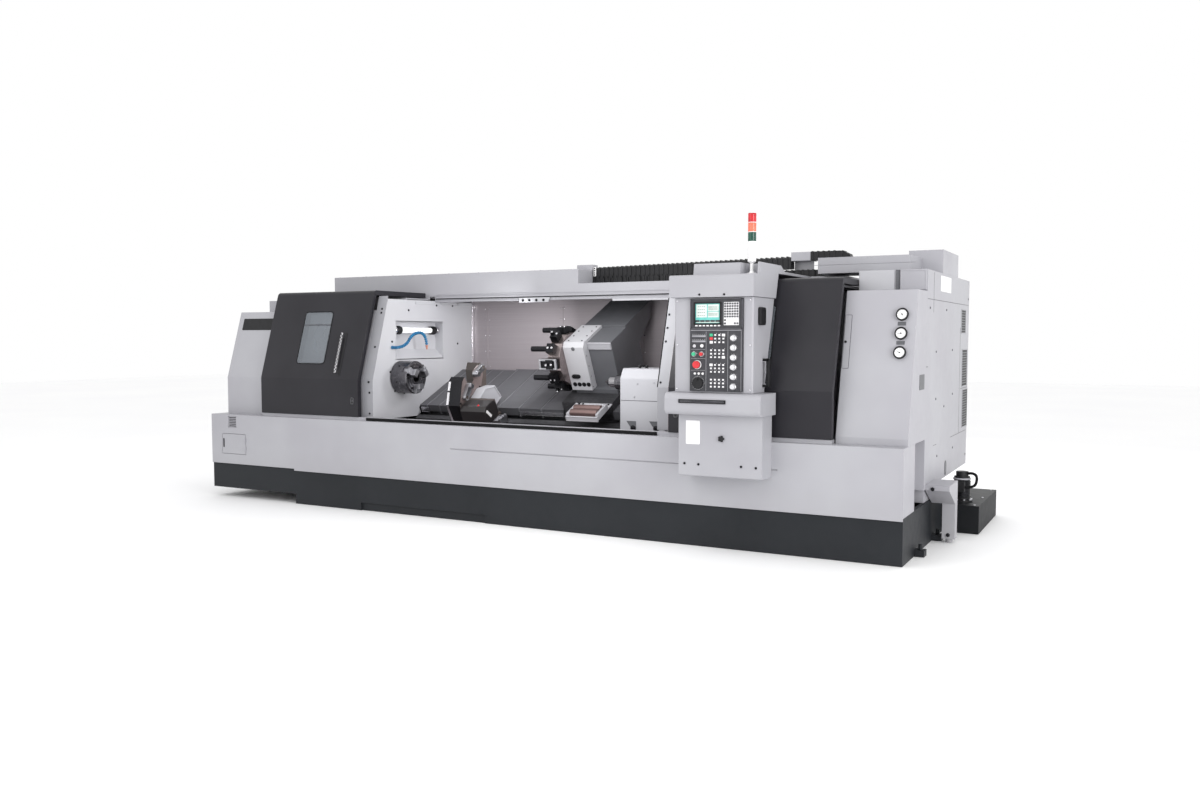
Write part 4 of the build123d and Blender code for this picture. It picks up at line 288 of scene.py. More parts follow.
def rimFrame(width, height, wide, thick, corner=0, edge=1):  # a ring cut from sheet, round a window or a lid
    deselect()
    bpy.ops.mesh.primitive_plane_add(size=1)
    piece = bpy.context.object
    piece.scale = (width / 1000, height / 1000, 1)
    bpy.ops.object.transform_apply(location=True, rotation=True, scale=True)
    bpy.ops.object.mode_set(mode="EDIT")
    bpy.ops.mesh.select_all(action="SELECT")
    if corner:
        bpy.ops.mesh.bevel(offset=corner / 1000, segments=5, affect="VERTICES")
    bpy.ops.mesh.select_mode(type="FACE")
    bpy.ops.mesh.select_all(action="SELECT")
    bpy.ops.mesh.inset(thickness=wide / 1000, depth=0)
    bpy.ops.mesh.delete(type="FACE")
    bpy.ops.object.mode_set(mode="OBJECT")
    return thicken(piece, thick, edge)


def outlinePlate(points, thick, edge=1):  # a plate with corners at the given points, anticlockwise
    deselect()
    bpy.ops.mesh.primitive_circle_add(vertices=len(points), radius=0.1, fill_type="NGON")
    piece = bpy.context.object
    for corner, point in zip(piece.data.vertices, points):
        corner.co = (point[0] / 1000, point[1] / 1000, 0)
    bpy.ops.object.mode_set(mode="EDIT")
    bpy.ops.mesh.select_all(action="SELECT")
    bpy.ops.mesh.normals_make_consistent(inside=False)
    bpy.ops.object.mode_set(mode="OBJECT")
    if piece.data.polygons[0].normal.z < 0:
        piece.data.flip_normals()
    return thicken(piece, thick, edge)


def pathThrough(points, steps):  # a smooth path along points in machine millimetres
    deselect()
    bpy.ops.curve.primitive_nurbs_path_add()
    path = bpy.context.object
    path.data.splines.clear()
    line = path.data.splines.new("NURBS")
    line.points.add(len(points) - 1)
    for knot, point in zip(line.points, points):
        knot.co = (*at(*point), 1)
    line.order_u = 3
    line.use_endpoint_u = True
    line.resolution_u = steps
    return path


def pipe(points, radius, sides=6):  # a bent pipe along points in machine millimetres
    piece = pathThrough(points, 8)
    piece.data.bevel_depth = radius / 1000
    piece.data.bevel_resolution = sides // 2
    piece.data.use_fill_caps = True
    bpy.ops.object.convert(target="MESH")
    return bpy.context.object


def linear(hexCode):  # from an sRGB hex value
    parts = [int(hexCode[i:i + 2], 16) / 255 for i in (1, 3, 5)]
    return tuple(c / 12.92 if c <= 0.04045 else ((c + 0.055) / 1.055) ** 2.4 for c in parts) + (1,)


def addNode(tree, kind, settings={}, links={}):
    made = tree.nodes.new("ShaderNode" + kind)
    for key, value in settings.items():
        if key == "stops":
            ramp = made.color_ramp.elements
            while len(ramp) < len(value):
                ramp.new(0.5)
            for stop, (position, colour) in zip(ramp, value):
                stop.position, stop.color = position, linear(colour)
        elif isinstance(key, str) and hasattr(made, key):
            setattr(made, key, value)
        else:
            made.inputs[key].default_value = value
    for key, source in links.items():
        tree.links.new(source, made.inputs[key])
    return made


def newFinish(name, settings):
    material = bpy.data.materials.new(name)
    material.use_nodes = True
    tree = material.node_tree
    shader = tree.nodes["Principled BSDF"]
    for key, value in settings.items():
        shader.inputs[key].default_value = value
    where = addNode(tree, "TexCoord").outputs["Object"]
    return material, tree, shader, where


def coatedSteel(name, pale, deep, dust, rough=0.4, peel=5, edge=3, shine=0.45):
    # sprayed and baked coat on sheet: satin, faint orange peel, soft folded edges, a little dust low down
    material, tree, shader, where = newFinish(name, {"Specular IOR Level": shine})
    cloud = addNode(tree, "TexNoise", {"Scale": 1.6, "Detail": 3}, {"Vector": where})
    tone = addNode(tree, "ValToRGB", {"stops": [(0.36, deep), (0.62, pale)]}, {"Fac": cloud.outputs["Fac"]})
    height = addNode(tree, "SeparateXYZ", {}, {0: where})
    low = addNode(tree, "MapRange", {"From Min": 0.0, "From Max": 0.5, "To Min": 0.5, "To Max": 0.0},
                  {"Value": height.outputs["Z"]})
    specks = addNode(tree, "TexNoise", {"Scale": 14, "Detail": 5}, {"Vector": where})
    amount = addNode(tree, "Math", {"operation": "MULTIPLY"}, {0: low.outputs[0], 1: specks.outputs["Fac"]})
    dusty = addNode(tree, "Mix", {"data_type": "RGBA", 7: linear(dust)},
                    {0: amount.outputs[0], 6: tone.outputs[0]})
    smudge = addNode(tree, "MapRange", {"To Min": rough - 0.06, "To Max": rough + 0.07},
                     {"Value": specks.outputs["Fac"]})
    skin = addNode(tree, "TexNoise", {"Scale": 1000 / peel, "Detail": 1}, {"Vector": where})
    fold = addNode(tree, "Bevel", {"samples": 4, "Radius": edge / 1000})
    bump = addNode(tree, "Bump", {"Strength": 0.06, "Distance": 0.0006},
                   {"Height": skin.outputs["Fac"], "Normal": fold.outputs[0]})
    tree.links.new(dusty.outputs[2], shader.inputs["Base Color"])
    tree.links.new(smudge.outputs[0], shader.inputs["Roughness"])
    tree.links.new(bump.outputs[0], shader.inputs["Normal"])
    return material


def workedSteel(name, pale, deep, grain, rough=0.3, metal=1.0, edge=1.5, depth=0.0004):
    # bare steel: grain lines left by the tool, as long and as close as the three lengths in millimetres say
    material, tree, shader, where = newFinish(name, {"Metallic": metal, "Anisotropic": 0.4})
    lines = addNode(tree, "Mapping", {"vector_type": "TEXTURE", "Scale": tuple(g / 1000 for g in grain)},
                    {"Vector": where})
    streak = addNode(tree, "TexNoise", {"Scale": 1, "Detail": 4, "Roughness": 0.6},
                     {"Vector": lines.outputs[0]})
    tone = addNode(tree, "ValToRGB", {"stops": [(0.3, deep), (0.7, pale)]}, {"Fac": streak.outputs["Fac"]})
    smear = addNode(tree, "TexNoise", {"Scale": 5, "Detail": 3}, {"Vector": where})
    gloss = addNode(tree, "MapRange", {"To Min": rough - 0.08, "To Max": rough + 0.1},
                    {"Value": smear.outputs["Fac"]})
    fold = addNode(tree, "Bevel", {"samples": 4, "Radius": edge / 1000})
    bump = addNode(tree, "Bump", {"Strength": 0.12, "Distance": depth},
                   {"Height": streak.outputs["Fac"], "Normal": fold.outputs[0]})
    tree.links.new(tone.outputs[0], shader.inputs["Base Color"])
    tree.links.new(gloss.outputs[0], shader.inputs["Roughness"])
    tree.links.new(bump.outputs[0], shader.inputs["Normal"])
    return material


def turnedSteel(name, pale, deep, centre, ring=2.4, rough=0.22):
    # steel turned about a line along the machine: fine rings round that line, drawn at a coarser feed to show
    material, tree, shader, where = newFinish(name, {"Metallic": 1.0, "Anisotropic": 0.5})
    middle = addNode(tree, "Mapping", {"vector_type": "TEXTURE", "Location": tuple(centre),
                                       "Scale": (ring / 159, ring / 159, ring / 159)},
                     {"Vector": where})
    rings = addNode(tree, "TexWave", {"wave_type": "RINGS", "rings_direction": "X", "Scale": 0.159,
                                      "Distortion": 0.6, "Detail": 2},
                    {"Vector": middle.outputs[0]})
    smear = addNode(tree, "TexNoise", {"Scale": 30, "Detail": 4}, {"Vector": where})
    both = addNode(tree, "Mix", {"data_type": "FLOAT", 0: 0.45},
                   {2: rings.outputs["Fac"], 3: smear.outputs["Fac"]})
    tone = addNode(tree, "ValToRGB", {"stops": [(0.2, deep), (0.75, pale)]}, {"Fac": both.outputs[0]})
    gloss = addNode(tree, "MapRange", {"To Min": rough - 0.06, "To Max": rough + 0.12},
                    {"Value": smear.outputs["Fac"]})
    fold = addNode(tree, "Bevel", {"samples": 4, "Radius": 0.0015})
    bump = addNode(tree, "Bump", {"Strength": 0.1, "Distance": 0.0003},
                   {"Height": rings.outputs["Fac"], "Normal": fold.outputs[0]})
    tree.links.new(tone.outputs[0], shader.inputs["Base Color"])
    tree.links.new(gloss.outputs[0], shader.inputs["Roughness"])
    tree.links.new(bump.outputs[0], shader.inputs["Normal"])
    return material


def mouldedPlastic(name, pale, deep, grain=0.8, rough=0.45, glow=0, edge=1, shine=0.5):
    # moulded plastic: even colour with a spark-eroded grain and soft edges
    material, tree, shader, where = newFinish(name, {"IOR": 1.5, "Emission Strength": glow,
                                                     "Specular IOR Level": shine})
    cloud = addNode(tree, "TexNoise", {"Scale": 22, "Detail": 3}, {"Vector": where})
    tone = addNode(tree, "ValToRGB", {"stops": [(0.35, deep), (0.65, pale)]}, {"Fac": cloud.outputs["Fac"]})
    pores = addNode(tree, "TexVoronoi", {"Scale": 1000 / grain}, {"Vector": where})
    gloss = addNode(tree, "MapRange", {"To Min": rough - 0.05, "To Max": rough + 0.08},
                    {"Value": cloud.outputs["Fac"]})
    fold = addNode(tree, "Bevel", {"samples": 4, "Radius": edge / 1000})
    bump = addNode(tree, "Bump", {"Strength": 0.12, "Distance": 0.0003},
                   {"Height": pores.outputs["Distance"], "Normal": fold.outputs[0]})
    tree.links.new(tone.outputs[0], shader.inputs["Base Color"])
    if glow:
        tree.links.new(tone.outputs[0], shader.inputs["Emission Color"])
    tree.links.new(gloss.outputs[0], shader.inputs["Roughness"])
    tree.links.new(bump.outputs[0], shader.inputs["Normal"])
    return material


def doorPane():
    # laminated safety pane: grey tint, half clear, faint wipe marks
    material, tree, shader, where = newFinish("polycarbonate pane, grey tint", {"IOR": 1.58, "Metallic": 0})
    cloud = addNode(tree, "TexNoise", {"Scale": 2.5, "Detail": 2}, {"Vector": where})
    tone = addNode(tree, "ValToRGB", {"stops": [(0.3, "#777C83"), (0.7, "#7E848B")]},
                   {"Fac": cloud.outputs["Fac"]})
    gloss = addNode(tree, "MapRange", {"To Min": 0.06, "To Max": 0.16}, {"Value": cloud.outputs["Fac"]})
    veil = addNode(tree, "MapRange", {"To Min": 0.56, "To Max": 0.68}, {"Value": cloud.outputs["Fac"]})
    tree.links.new(tone.outputs[0], shader.inputs["Base Color"])
    tree.links.new(gloss.outputs[0], shader.inputs["Roughness"])
    tree.links.new(veil.outputs[0], shader.inputs["Alpha"])
    return material


lightCoat = coatedSteel("polyester coat, light grey", "#A8A8AD", "#A2A1A7", "#959290", rough=0.42, edge=5)
whiteCoat = coatedSteel("epoxy enamel, white", "#C2C2C6", "#BAB9BE", "#A8A5A4", rough=0.32, edge=5)
# a paler copy of the light grey coat: painted lamp light and highlight, used on work space parts and the
# electrical cabinet's front sheet
paintedHighlightCoat = coatedSteel("polyester coat, light grey, painted highlight", "#BBBBBF", "#B4B4B9", "#A5A2A0", rough=0.45, edge=4)
tankCoat = coatedSteel("textured epoxy coat, near black", "#131518", "#0F1114", "#232426",
                       rough=0.55, peel=3, edge=4, shine=0.18)
tailCoat = coatedSteel("epoxy enamel, pale grey", "#ADADB2", "#A5A5AA", "#9A9795", rough=0.34, edge=5)
# a darker copy of the light grey coat: painted shade, for the jamb plates recessed behind the doors
shadedLightCoat = coatedSteel("polyester coat, light grey, painted shade", "#96969B", "#8F8F94", "#8A8785", rough=0.42, edge=3)
charcoalCoat = coatedSteel("polyester coat, charcoal", "#26252A", "#201F24", "#302E2F",
                           rough=0.36, edge=4, shine=0.28)
baseCoat = coatedSteel("textured epoxy coat, dark blue grey", "#1F2226", "#191C20", "#2E2F32",
                       rough=0.5, peel=3, edge=4, shine=0.25)
castingCoat = coatedSteel("machine enamel on cast iron, grey", "#6B6C70", "#5E5F63", "#6A6866",
                          rough=0.45, peel=4, edge=5)
slideCoat = coatedSteel("satin coat, slide grey", "#626367", "#57585C", "#66656A", rough=0.4, edge=3)
brownCoat = coatedSteel("machine enamel on cast iron, dark brown", "#4A423F", "#3B3533", "#544E4A",
                        rough=0.42, peel=4, edge=3)
brushedSheet = workedSteel("stainless sheet, brushed", "#A8A1A5", "#9E979B", (900, 3, 3),
                           rough=0.42, metal=0.45, edge=2)
coverSheet = workedSteel("spring steel sheet, ground satin", "#6A6A6E", "#606064", (700, 4, 4),
                         rough=0.45, metal=0.35, edge=1.5)
groundSteel = workedSteel("tool steel, surface ground", "#C2C2C6", "#96969B", (60, 2, 2), rough=0.3)
discSteel = workedSteel("steel, milled and nickelled", "#B3A6A5", "#8E8484", (14, 10, 10), rough=0.32)
castIron = workedSteel("cast iron, machined", "#6D6D70", "#515154", (30, 6, 6), rough=0.45, metal=0.8)
blackSteel = workedSteel("steel, blackened", "#26262A", "#17171A", (9, 9, 9), rough=0.38, metal=0.7)
trimSteel = workedSteel("stainless strip, bright drawn", "#E4E3E6", "#C9C8CC", (400, 2, 2), rough=0.24)
trimCover = workedSteel("spring steel strip, rolled", "#8A8A8E", "#76767A", (4, 300, 300), rough=0.4,
                        metal=0.5)
guardBrown = coatedSteel("enamel on sheet, brown grey", "#6B5F5E", "#5C5150", "#5E5654", rough=0.35, edge=1)
blackBox = coatedSteel("enamel on sheet, black brown", "#2B2829", "#221F20", "#3A3635", rough=0.35, edge=3)
rollerBrown = workedSteel("steel roller, browned", "#8A7370", "#6C5855", (200, 3, 3), rough=0.35, metal=0.6)
chuckSteel = turnedSteel("chuck steel, turned and ground", "#8F8E91", "#57565A", at(1953, 520, 1190),
                         rough=0.22)
blackRubber = mouldedPlastic("rubber, extruded black", "#151517", "#0E0E10", grain=1.2, rough=0.62, shine=0.2)
blackNylon = mouldedPlastic("nylon, moulded black", "#1C1C1F", "#131315", rough=0.5, shine=0.35)
panelFilm = mouldedPlastic("polyester film, charcoal", "#3A3A3F", "#2E2E33", grain=0.6, rough=0.5)
bezelPlastic = mouldedPlastic("polycarbonate blend, dark grey", "#4B4A50", "#403F45", rough=0.45)
keyPlastic = mouldedPlastic("silicone, moulded white", "#ECEBEC", "#DCDBDD", rough=0.5)
whitePlastic = mouldedPlastic("polycarbonate, moulded white", "#F3F2F2", "#E6E5E6", rough=0.35)
redPlastic = mouldedPlastic("polycarbonate, moulded red", "#D9343C", "#C0262E", rough=0.3)
greenPlastic = mouldedPlastic("polycarbonate, moulded green", "#3FBF8E", "#2DA577", rough=0.3)
blueAcetal = mouldedPlastic("acetal, moulded blue", "#1F76A6", "#145E88", rough=0.32)
orangeAcetal = mouldedPlastic("acetal, moulded orange", "#C98F7C", "#B87D6B", rough=0.35)
lensRed = mouldedPlastic("acrylic, moulded red lens", "#C4232B", "#A81A22", rough=0.2, glow=0.25)
lensAmber = mouldedPlastic("acrylic, moulded amber lens", "#F0735A", "#E2624A", rough=0.2, glow=0.25)
lensGreen = mouldedPlastic("acrylic, moulded green lens", "#12503F", "#0C4034", rough=0.2, glow=0.1)
screenGlow = mouldedPlastic("display glass, lit teal", "#5FAFA8", "#4F9F98", grain=0.5, rough=0.15, glow=0.4)
screenPale = mouldedPlastic("display glass, lit pale", "#C9D2CC", "#BCC8C2", grain=0.5, rough=0.2, glow=0.3)
knobAluminium = workedSteel("aluminium, turned and anodised", "#E9E9EB", "#CFCFD3", (3, 3, 3),
                            rough=0.32, metal=0.5, edge=0.6)
opalTube = mouldedPlastic("acrylic, opal", "#FBFBFB", "#EFEFF0", rough=0.25, glow=0.6)
greyPane = doorPane()

# a slot name for each finish, unless a piece gives its own
slotFinishes = {
    "signal_plastic": [whitePlastic, keyPlastic, knobAluminium],
    "black_plastic": [bezelPlastic, blackNylon, blackRubber],
    "panel_plastic": [screenGlow, screenPale, panelFilm],
    "green_plastic": [greenPlastic],
    "red_plastic": [redPlastic, lensRed],
    "light_paint": [lightCoat, paintedHighlightCoat, whiteCoat, shadedLightCoat],
    "bright_steel": [trimSteel, discSteel, groundSteel],
    "dark_steel": [blackSteel, rollerBrown, blackBox, castIron],
    "hose_blue": [blueAcetal, orangeAcetal],
    "stainless": [brushedSheet],
    "charcoal_paint": [slideCoat],
    "steady_paint": [guardBrown],
    "lamp_plastic": [opalTube],
    "way_steel": [trimCover],
}
finishSlot = {finish: slot for slot, finishes in slotFinishes.items() for finish in finishes}

nodeFinish = {
    lightCoat: ["lower_front_panel", "access_door", "left_end_cover", "rear_enclosure", "right_cabinet",
                "electrical_cabinet", "electrical_door", "roof_unit", "cabinet_leg", "console_stand",
                "console_hood", "console_housing"],
    whiteCoat: ["turret_housing"],
    tailCoat: ["tailstock"],
    tankCoat: ["coolant_tank"],
    # the headstock wall takes the paler copy: painted lamp light
    paintedHighlightCoat: ["headstock_wall"],
    charcoalCoat: ["left_door", "right_door", "right_inner_door"],
    baseCoat: ["base_plinth", "levelling_feet"],
    castingCoat: ["headstock"],
    slideCoat: ["cross_slide"],
    brownCoat: ["steady_frame"],
    brushedSheet: ["splash_guard"],
    coverSheet: ["way_covers", "carriage_covers"],
    castIron: ["slant_bed", "saddle", "spindle_pulley", "motor_pulley"],
    groundSteel: ["spindle_bearings", "steady_arm_1", "steady_arm_2",
                  "chuck_jaw_1", "chuck_jaw_2", "chuck_jaw_3"],
    trimSteel: ["left_door_handle", "right_door_handle"],
    discSteel: ["turret_disc"],
    blackSteel: ["turret_tools", "spindle_motor"],
    chuckSteel: ["spindle", "chuck_body", "quill", "live_centre"],
    blackRubber: ["drive_belt"],
    blackNylon: ["cable_chain", "coolant_pump", "handwheel", "pressure_gauges"],
    panelFilm: ["control_panel"],
    redPlastic: ["e_stop", "feed_hold_button"],
    greenPlastic: ["cycle_start_button"],
    blueAcetal: ["coolant_hose"],
    opalTube: ["work_lamp"],
    whitePlastic: ["stack_light"],
    greyPane: ["left_door_window", "right_door_window"],
}
for finish, names in nodeFinish.items():
    for name in names:
        nodes[name].data.materials.clear()
        nodes[name].data.materials.append(finish)
print("finishes made:", len(nodeFinish))

# signal light on the hood: foot, stem, white body and three lenses with white rings
signalLight = {
    "x": 5640, "y": -86, "foot": 2006, "stem": 2094, "lenses": 2241, "lens": 67, "radius": 30, "sides": 36,
    "colours": {"green": (lensGreen, "green_plastic"), "amber": (lensAmber, "amber_plastic"),
                "red": (lensRed, "red_plastic")},
}
signalPlace = topAt(signalLight["x"], signalLight["y"], 0)
foot, stem, lensLow, wide, sides = (signalLight[key] for key in ("foot", "stem", "lenses", "radius", "sides"))
footProfile = [(34, foot), (34, foot + 8), (31, foot + 12), (18, foot + 13), (16, foot + 22), (13, foot + 26)]
signalFoot = turned(footProfile + [(13, stem - 8), (22, stem - 2), (22, stem)])
dress(settle(signalFoot, signalPlace), "signal_foot", whitePlastic, slot="lamp_plastic")
bodyProfile = [(26, stem), (wide, stem + 4), (wide, stem + 70), (wide - 1.5, stem + 72),
               (wide - 1.5, stem + 76)]
bodyProfile += [(wide, stem + 78), (wide, lensLow - 3), (wide - 2, lensLow - 0.5), (10, lensLow - 0.5)]
signalBody = dress(settle(turned(bodyProfile, sides), signalPlace), "signal_body", whitePlastic,
                   slot="lamp_plastic")
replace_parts(signalBody, "stack_light")
for step, (name, (finish, slot)) in enumerate(signalLight["colours"].items()):
    low = lensLow + step * signalLight["lens"]
    ribs = []
    for rise in range(6, 58, 4):  # moulded rings that scatter the light
        ribs += [(wide - 0.2, low + rise), (wide - 1.1, low + rise + 2)]
    lens = turned([(wide - 3, low)] + ribs + [(wide - 0.5, low + 60), (wide - 3, low + 62)], sides)
    dress(settle(lens, signalPlace), "signal_lens_" + name, finish, slot=slot, smooth=60)
    collar = turned([(wide - 3, low + 62), (wide, low + 63), (wide, low + 66), (wide - 2, low + 67),
                     (8, low + 67)], sides)
    dress(settle(collar, signalPlace), "signal_collar_" + name, whitePlastic, slot="lamp_plastic")
print("signal light made")

# operator console: display, keypad, keys, knobs and lamps on the panel's face, read as across and height
console = {
    "face": -236,
    "display": (5433.5, 1728.5, 397, 217),
    "screen": (5365.5, 1731.5, 187, 139),
    "screenBlocks": [(-46, 18, 82, 92), (44, 40, 84, 48), (44, -8, 84, 40), (0, -62, 176, 8)],
    "softKeys": [(5282 + 28.7 * i, 1644.5) for i in range(7)],
    "keypad": (5546.5, 1728.5, 113, 163),
    "keypadKeys": [(5500 + 18.6 * i, 1799 - 18.2 * j) for i in range(6) for j in range(6)],
    "keypadLow": [(5500, 1683), (5500, 1660), (5593, 1660), (5574.4, 1660)],
    "arrows": [(5543, 1685), (5543, 1657), (5529, 1671), (5557, 1671)],
    "keyColumns": [5396.5, 5427, 5458, 5489],
    "keyRows": [1578, 1552.5, 1527, 1470, 1445.5, 1421, 1366, 1341.5, 1317, 1261, 1236, 1211],
    "paleKeys": [(5396.5, 1527), (5489, 1578), (5489, 1421), (5396.5, 1366)],
    "greenKey": (5396.5, 1578),
    "redKey": (5396.5, 1552.5),
    "lampColumns": [5255 + 15.2 * i for i in range(7)],
    "lampRows": (1583, 1546),
    "strips": [(5431, 1612, 386, 5), (5357, 1392, 3, 424), (5522.5, 1392, 3, 424), (5622, 1392, 3, 424),
               (5295, 1476, 108, 2.5), (5295, 1411, 108, 2.5), (5295, 1326, 108, 2.5)],
    "knobs": [(5563.5, 1213 + 68.7 * i) for i in range(6)],
    "wheel": (5296, 1235),
    "stop": (5289, 1366),
    "start": (5263, 1442),
    "hold": (5322, 1442),
    "toggle": (5267, 1500),
    "lamp": (5325, 1501),
    "smallButtons": [(5272, 1302.5), (5302, 1302.5), (5332, 1302.5)],
}
panel = frontAt(0, console["face"], 0)
x, z, width, height = console["display"]
displayRim = settle(rimFrame(width, height, 8, 6, corner=7, edge=2), panel, x, z)
dress(displayRim, "display_rim", bezelPlastic, "console")
x, z, width, height = console["screen"]
screenRim = settle(rimFrame(width + 26, height + 26, 13.5, 4, corner=5, edge=1.5), panel, x, z)
dress(screenRim, "screen_rim", blackNylon, "console")
screenPane = settle(pressedPlate(width - 1, height - 1, 1.4, 2, -0.3, edge=0.4), panel, x, z, out=-3.9)
dress(screenPane, "screen_pane", screenGlow, "console")
screenRows = [(-70 + 15 * i, row, 11, 3) for row in (48, 27, 6, -15) for i in range(4)]
screenRows += [(40, row, 70, 2) for row in (48, 41, 34, 27, 0, -7, -14)]
screenRows += [(-78 + 39 * i, -54, 35, 14) for i in range(5)]
for name, marks, thick, depth, finish in (("screen_blocks", console["screenBlocks"], 0.4, -2.7, screenPale),
                                          ("screen_rows", screenRows, 0.3, -2.3, panelFilm)):
    shown = [settle(flatPlate(w, h, thick, edge=0.1), panel, x + dx, z + dz, out=depth)
             for dx, dz, w, h in marks]
    dress(joined(shown), name, finish, "console")

softKey = pressedPlate(19, 10, 3, 1, -0.5, corner=2, edge=0.8)
dress(copies(softKey, spots(panel, console["softKeys"])), "soft_keys", keyPlastic, "console")
x, z, width, height = console["keypad"]
keypadPlate = settle(flatPlate(width, height, 1.6, corner=4, edge=0.6), panel, x, z)
dress(keypadPlate, "keypad_plate", keyPlastic, "console", slot="panel_plastic")
keypadSpots = spots(panel, console["keypadKeys"] + console["keypadLow"], out=1.5)
keypadKey = pressedPlate(13, 12.5, 3, 0.8, -0.6, corner=2, edge=1)
dress(copies(keypadKey, keypadSpots), "keypad_keys", bezelPlastic, "console")
arrowKey = pressedPlate(11, 11, 3.4, 0.8, -0.6, corner=2, edge=1)
dress(copies(arrowKey, spots(panel, console["arrows"], out=1.5)), "arrow_keys", whitePlastic, "console")

colouredKeys = console["paleKeys"] + [console["greenKey"], console["redKey"]]
keysAt = [(x, z) for x in console["keyColumns"] for z in console["keyRows"]]
plainKeys = [spot for spot in keysAt if spot not in colouredKeys]
for name, places, finish in (("panel_keys", plainKeys, bezelPlastic),
                             ("pale_keys", console["paleKeys"], keyPlastic),
                             ("green_key", [console["greenKey"]], greenPlastic),
                             ("red_key", [console["redKey"]], redPlastic)):
    key = pressedPlate(24, 19, 3.4, 1.5, -0.7, corner=3, edge=1.2)
    dress(copies(key, spots(panel, places)), name, finish, "console")
keyLens = pressedPlate(14, 11.5, 0.8, 0.8, 0.2, edge=0.3)
dress(copies(keyLens, spots(panel, plainKeys, out=2.6)), "key_lenses", keyPlastic, "console")
lampSpots = [(x + 9, z + 11.5) for x, z in plainKeys[::2]]
lampSpots += [(x, row) for x in console["lampColumns"] for row in console["lampRows"]]
keyLamp = turned([(1.9, 0), (1.9, 0.8), (1.2, 1.3), (0.3, 1.5)], 8)
dress(copies(keyLamp, spots(panel, lampSpots)), "key_lamps", whitePlastic, "console")
lampStrips = [settle(flatPlate(104, 13, 0.8, corner=2, edge=0.3), panel, 5300, row - 13)
              for row in console["lampRows"]]
dress(joined(lampStrips), "lamp_strips", lightCoat, "console")
panelStrips = [settle(pressedPlate(w, h, 0.8, 0.6, 0.1, edge=0.2), panel, x, z)
               for x, z, w, h in console["strips"]]
dress(joined(panelStrips), "panel_strips", lightCoat, "console")

knobSkirt = [(21.5, 0), (21.5, 2.5), (19.6, 4), (18.4, 5), (17.9, 19.5), (16.6, 21.6), (14, 22.2), (1, 22.2)]
knobPointer = settle(flatPlate(3.2, 15, 1.6, edge=0.6), Matrix(), 0, 7.5, out=22)
knobCap = joined([turned(knobSkirt, 32), knobPointer])
dress(copies(knobCap, spots(panel, console["knobs"], turn=-25)), "selector_knobs", knobAluminium, "console")
knobTick = pressedPlate(1.4, 4.2, 0.5, 0.3, 0.1, edge=0.2)
knobTicks = dialMarks(spots(panel, console["knobs"]), range(-120, 121, 24), 26.5)
dress(copies(knobTick, knobTicks), "knob_ticks", whitePlastic, "console")
wheelTick = pressedPlate(1.4, 5.5, 0.6, 0.3, 0.1, edge=0.2)
wheelTicks = dialMarks(spots(panel, [console["wheel"]]), range(0, 360, 9), 46.8)
dress(copies(wheelTick, wheelTicks), "wheel_ticks", whitePlastic, "console")
stopCollar = turned([(28, 0), (32, 0), (32, 4), (30.5, 6.5), (28, 6.5)], 36, ring=True)
dress(settle(stopCollar, panel, *console["stop"]), "stop_collar", whitePlastic, "console")
buttonRing = turned([(13.8, 0), (18, 0), (18, 1.6), (16.8, 2.5), (13.8, 2.5)], 30, ring=True)
dress(copies(buttonRing, spots(panel, [console["start"], console["hold"]])), "button_rings", trimSteel,
      "console")
lever = turned([(12, 0), (12, 2.5), (9.5, 4), (9.5, 7), (5.5, 8), (3.6, 19), (4.6, 24), (2.5, 26)], 20)
dress(settle(lever, panel, *console["toggle"]), "toggle_dark", trimSteel, "console")
whiteLamp = turned([(12.5, 0), (12.5, 3), (11, 4.5), (11, 9), (8, 12), (3, 13)], 24)
dress(settle(whiteLamp, panel, *console["lamp"]), "lamp_white", whitePlastic, "console")
smallButton = turned([(9, 0), (9, 2), (7.4, 3), (7.4, 7), (5, 8.4), (1, 8.6)], 20)
dress(copies(smallButton, spots(panel, console["smallButtons"])), "small_buttons", keyPlastic, "console")

# console housing: box and grip on its right side, seams and screws on its front
housing = {
    "front": -222, "sideBox": (5705, -75, 1711), "gripFront": -6.5,
    "grip": [(5731, 1400, 52, 22), (5731, 1216, 52, 22), (5746, 1308, 26, 204)],
    "seams": (5228, 5634), "screwColumns": (5126, 5684), "screwRows": (1190, 1506, 1822),
}
sideBox = pressedPlate(110, 127, 24, 12, -6, corner=20, edge=6)
dress(settle(sideBox, rightAt(*housing["sideBox"])), "console_side_box", blackNylon, "console")
grip = [settle(flatPlate(w, h, 25, corner=5, edge=4), frontAt(x, housing["gripFront"], z))
        for x, z, w, h in housing["grip"]]
dress(joined(grip), "console_grip", blackNylon, "console")
housingSeams = [settle(pressedPlate(3, 660, 1.2, 0.6, -0.4, edge=0.3), frontAt(x, housing["front"], 1507))
                for x in housing["seams"]]
dress(joined(housingSeams), "console_seams", blackRubber, "console")
housingScrews = [(x, z) for x in housing["screwColumns"] for z in housing["screwRows"]]
fasten("console_screws", 6, 3.5, spots(frontAt(0, housing["front"], 0), housingScrews), trimSteel, "console")

# shelf under the console, and the stand with a blank plate, a star knob and cover screws
shelf = {"pull": (5353, -300, 1106), "long": 359, "high": 28}
stand = {
    "front": -200, "plate": (5242.5, 875), "knob": (5464, 837), "knobReach": 15,
    "screws": [(5178, 646), (5288, 644), (5615, 645), (5725, 642)], "hoodFront": -258,
    "hoodScrews": [(5312, 1865), (5500, 1863)],
}
shelfPlace, standPlace = frontAt(*shelf["pull"]), frontAt(0, stand["front"], 0)
shelfFrame = rimFrame(shelf["long"], shelf["high"], 6, 8, corner=4, edge=2)
dress(settle(shelfFrame, shelfPlace), "shelf_pull_frame", blackNylon)
shelfBar = pressedPlate(shelf["long"] - 11, shelf["high"] - 11, 5, 4, -2, corner=2, edge=1.5)
dress(settle(shelfBar, shelfPlace), "shelf_pull", bezelPlastic)
standPlate = pressedPlate(109, 172, 1.5, 4, 0.4, corner=6, edge=0.5)
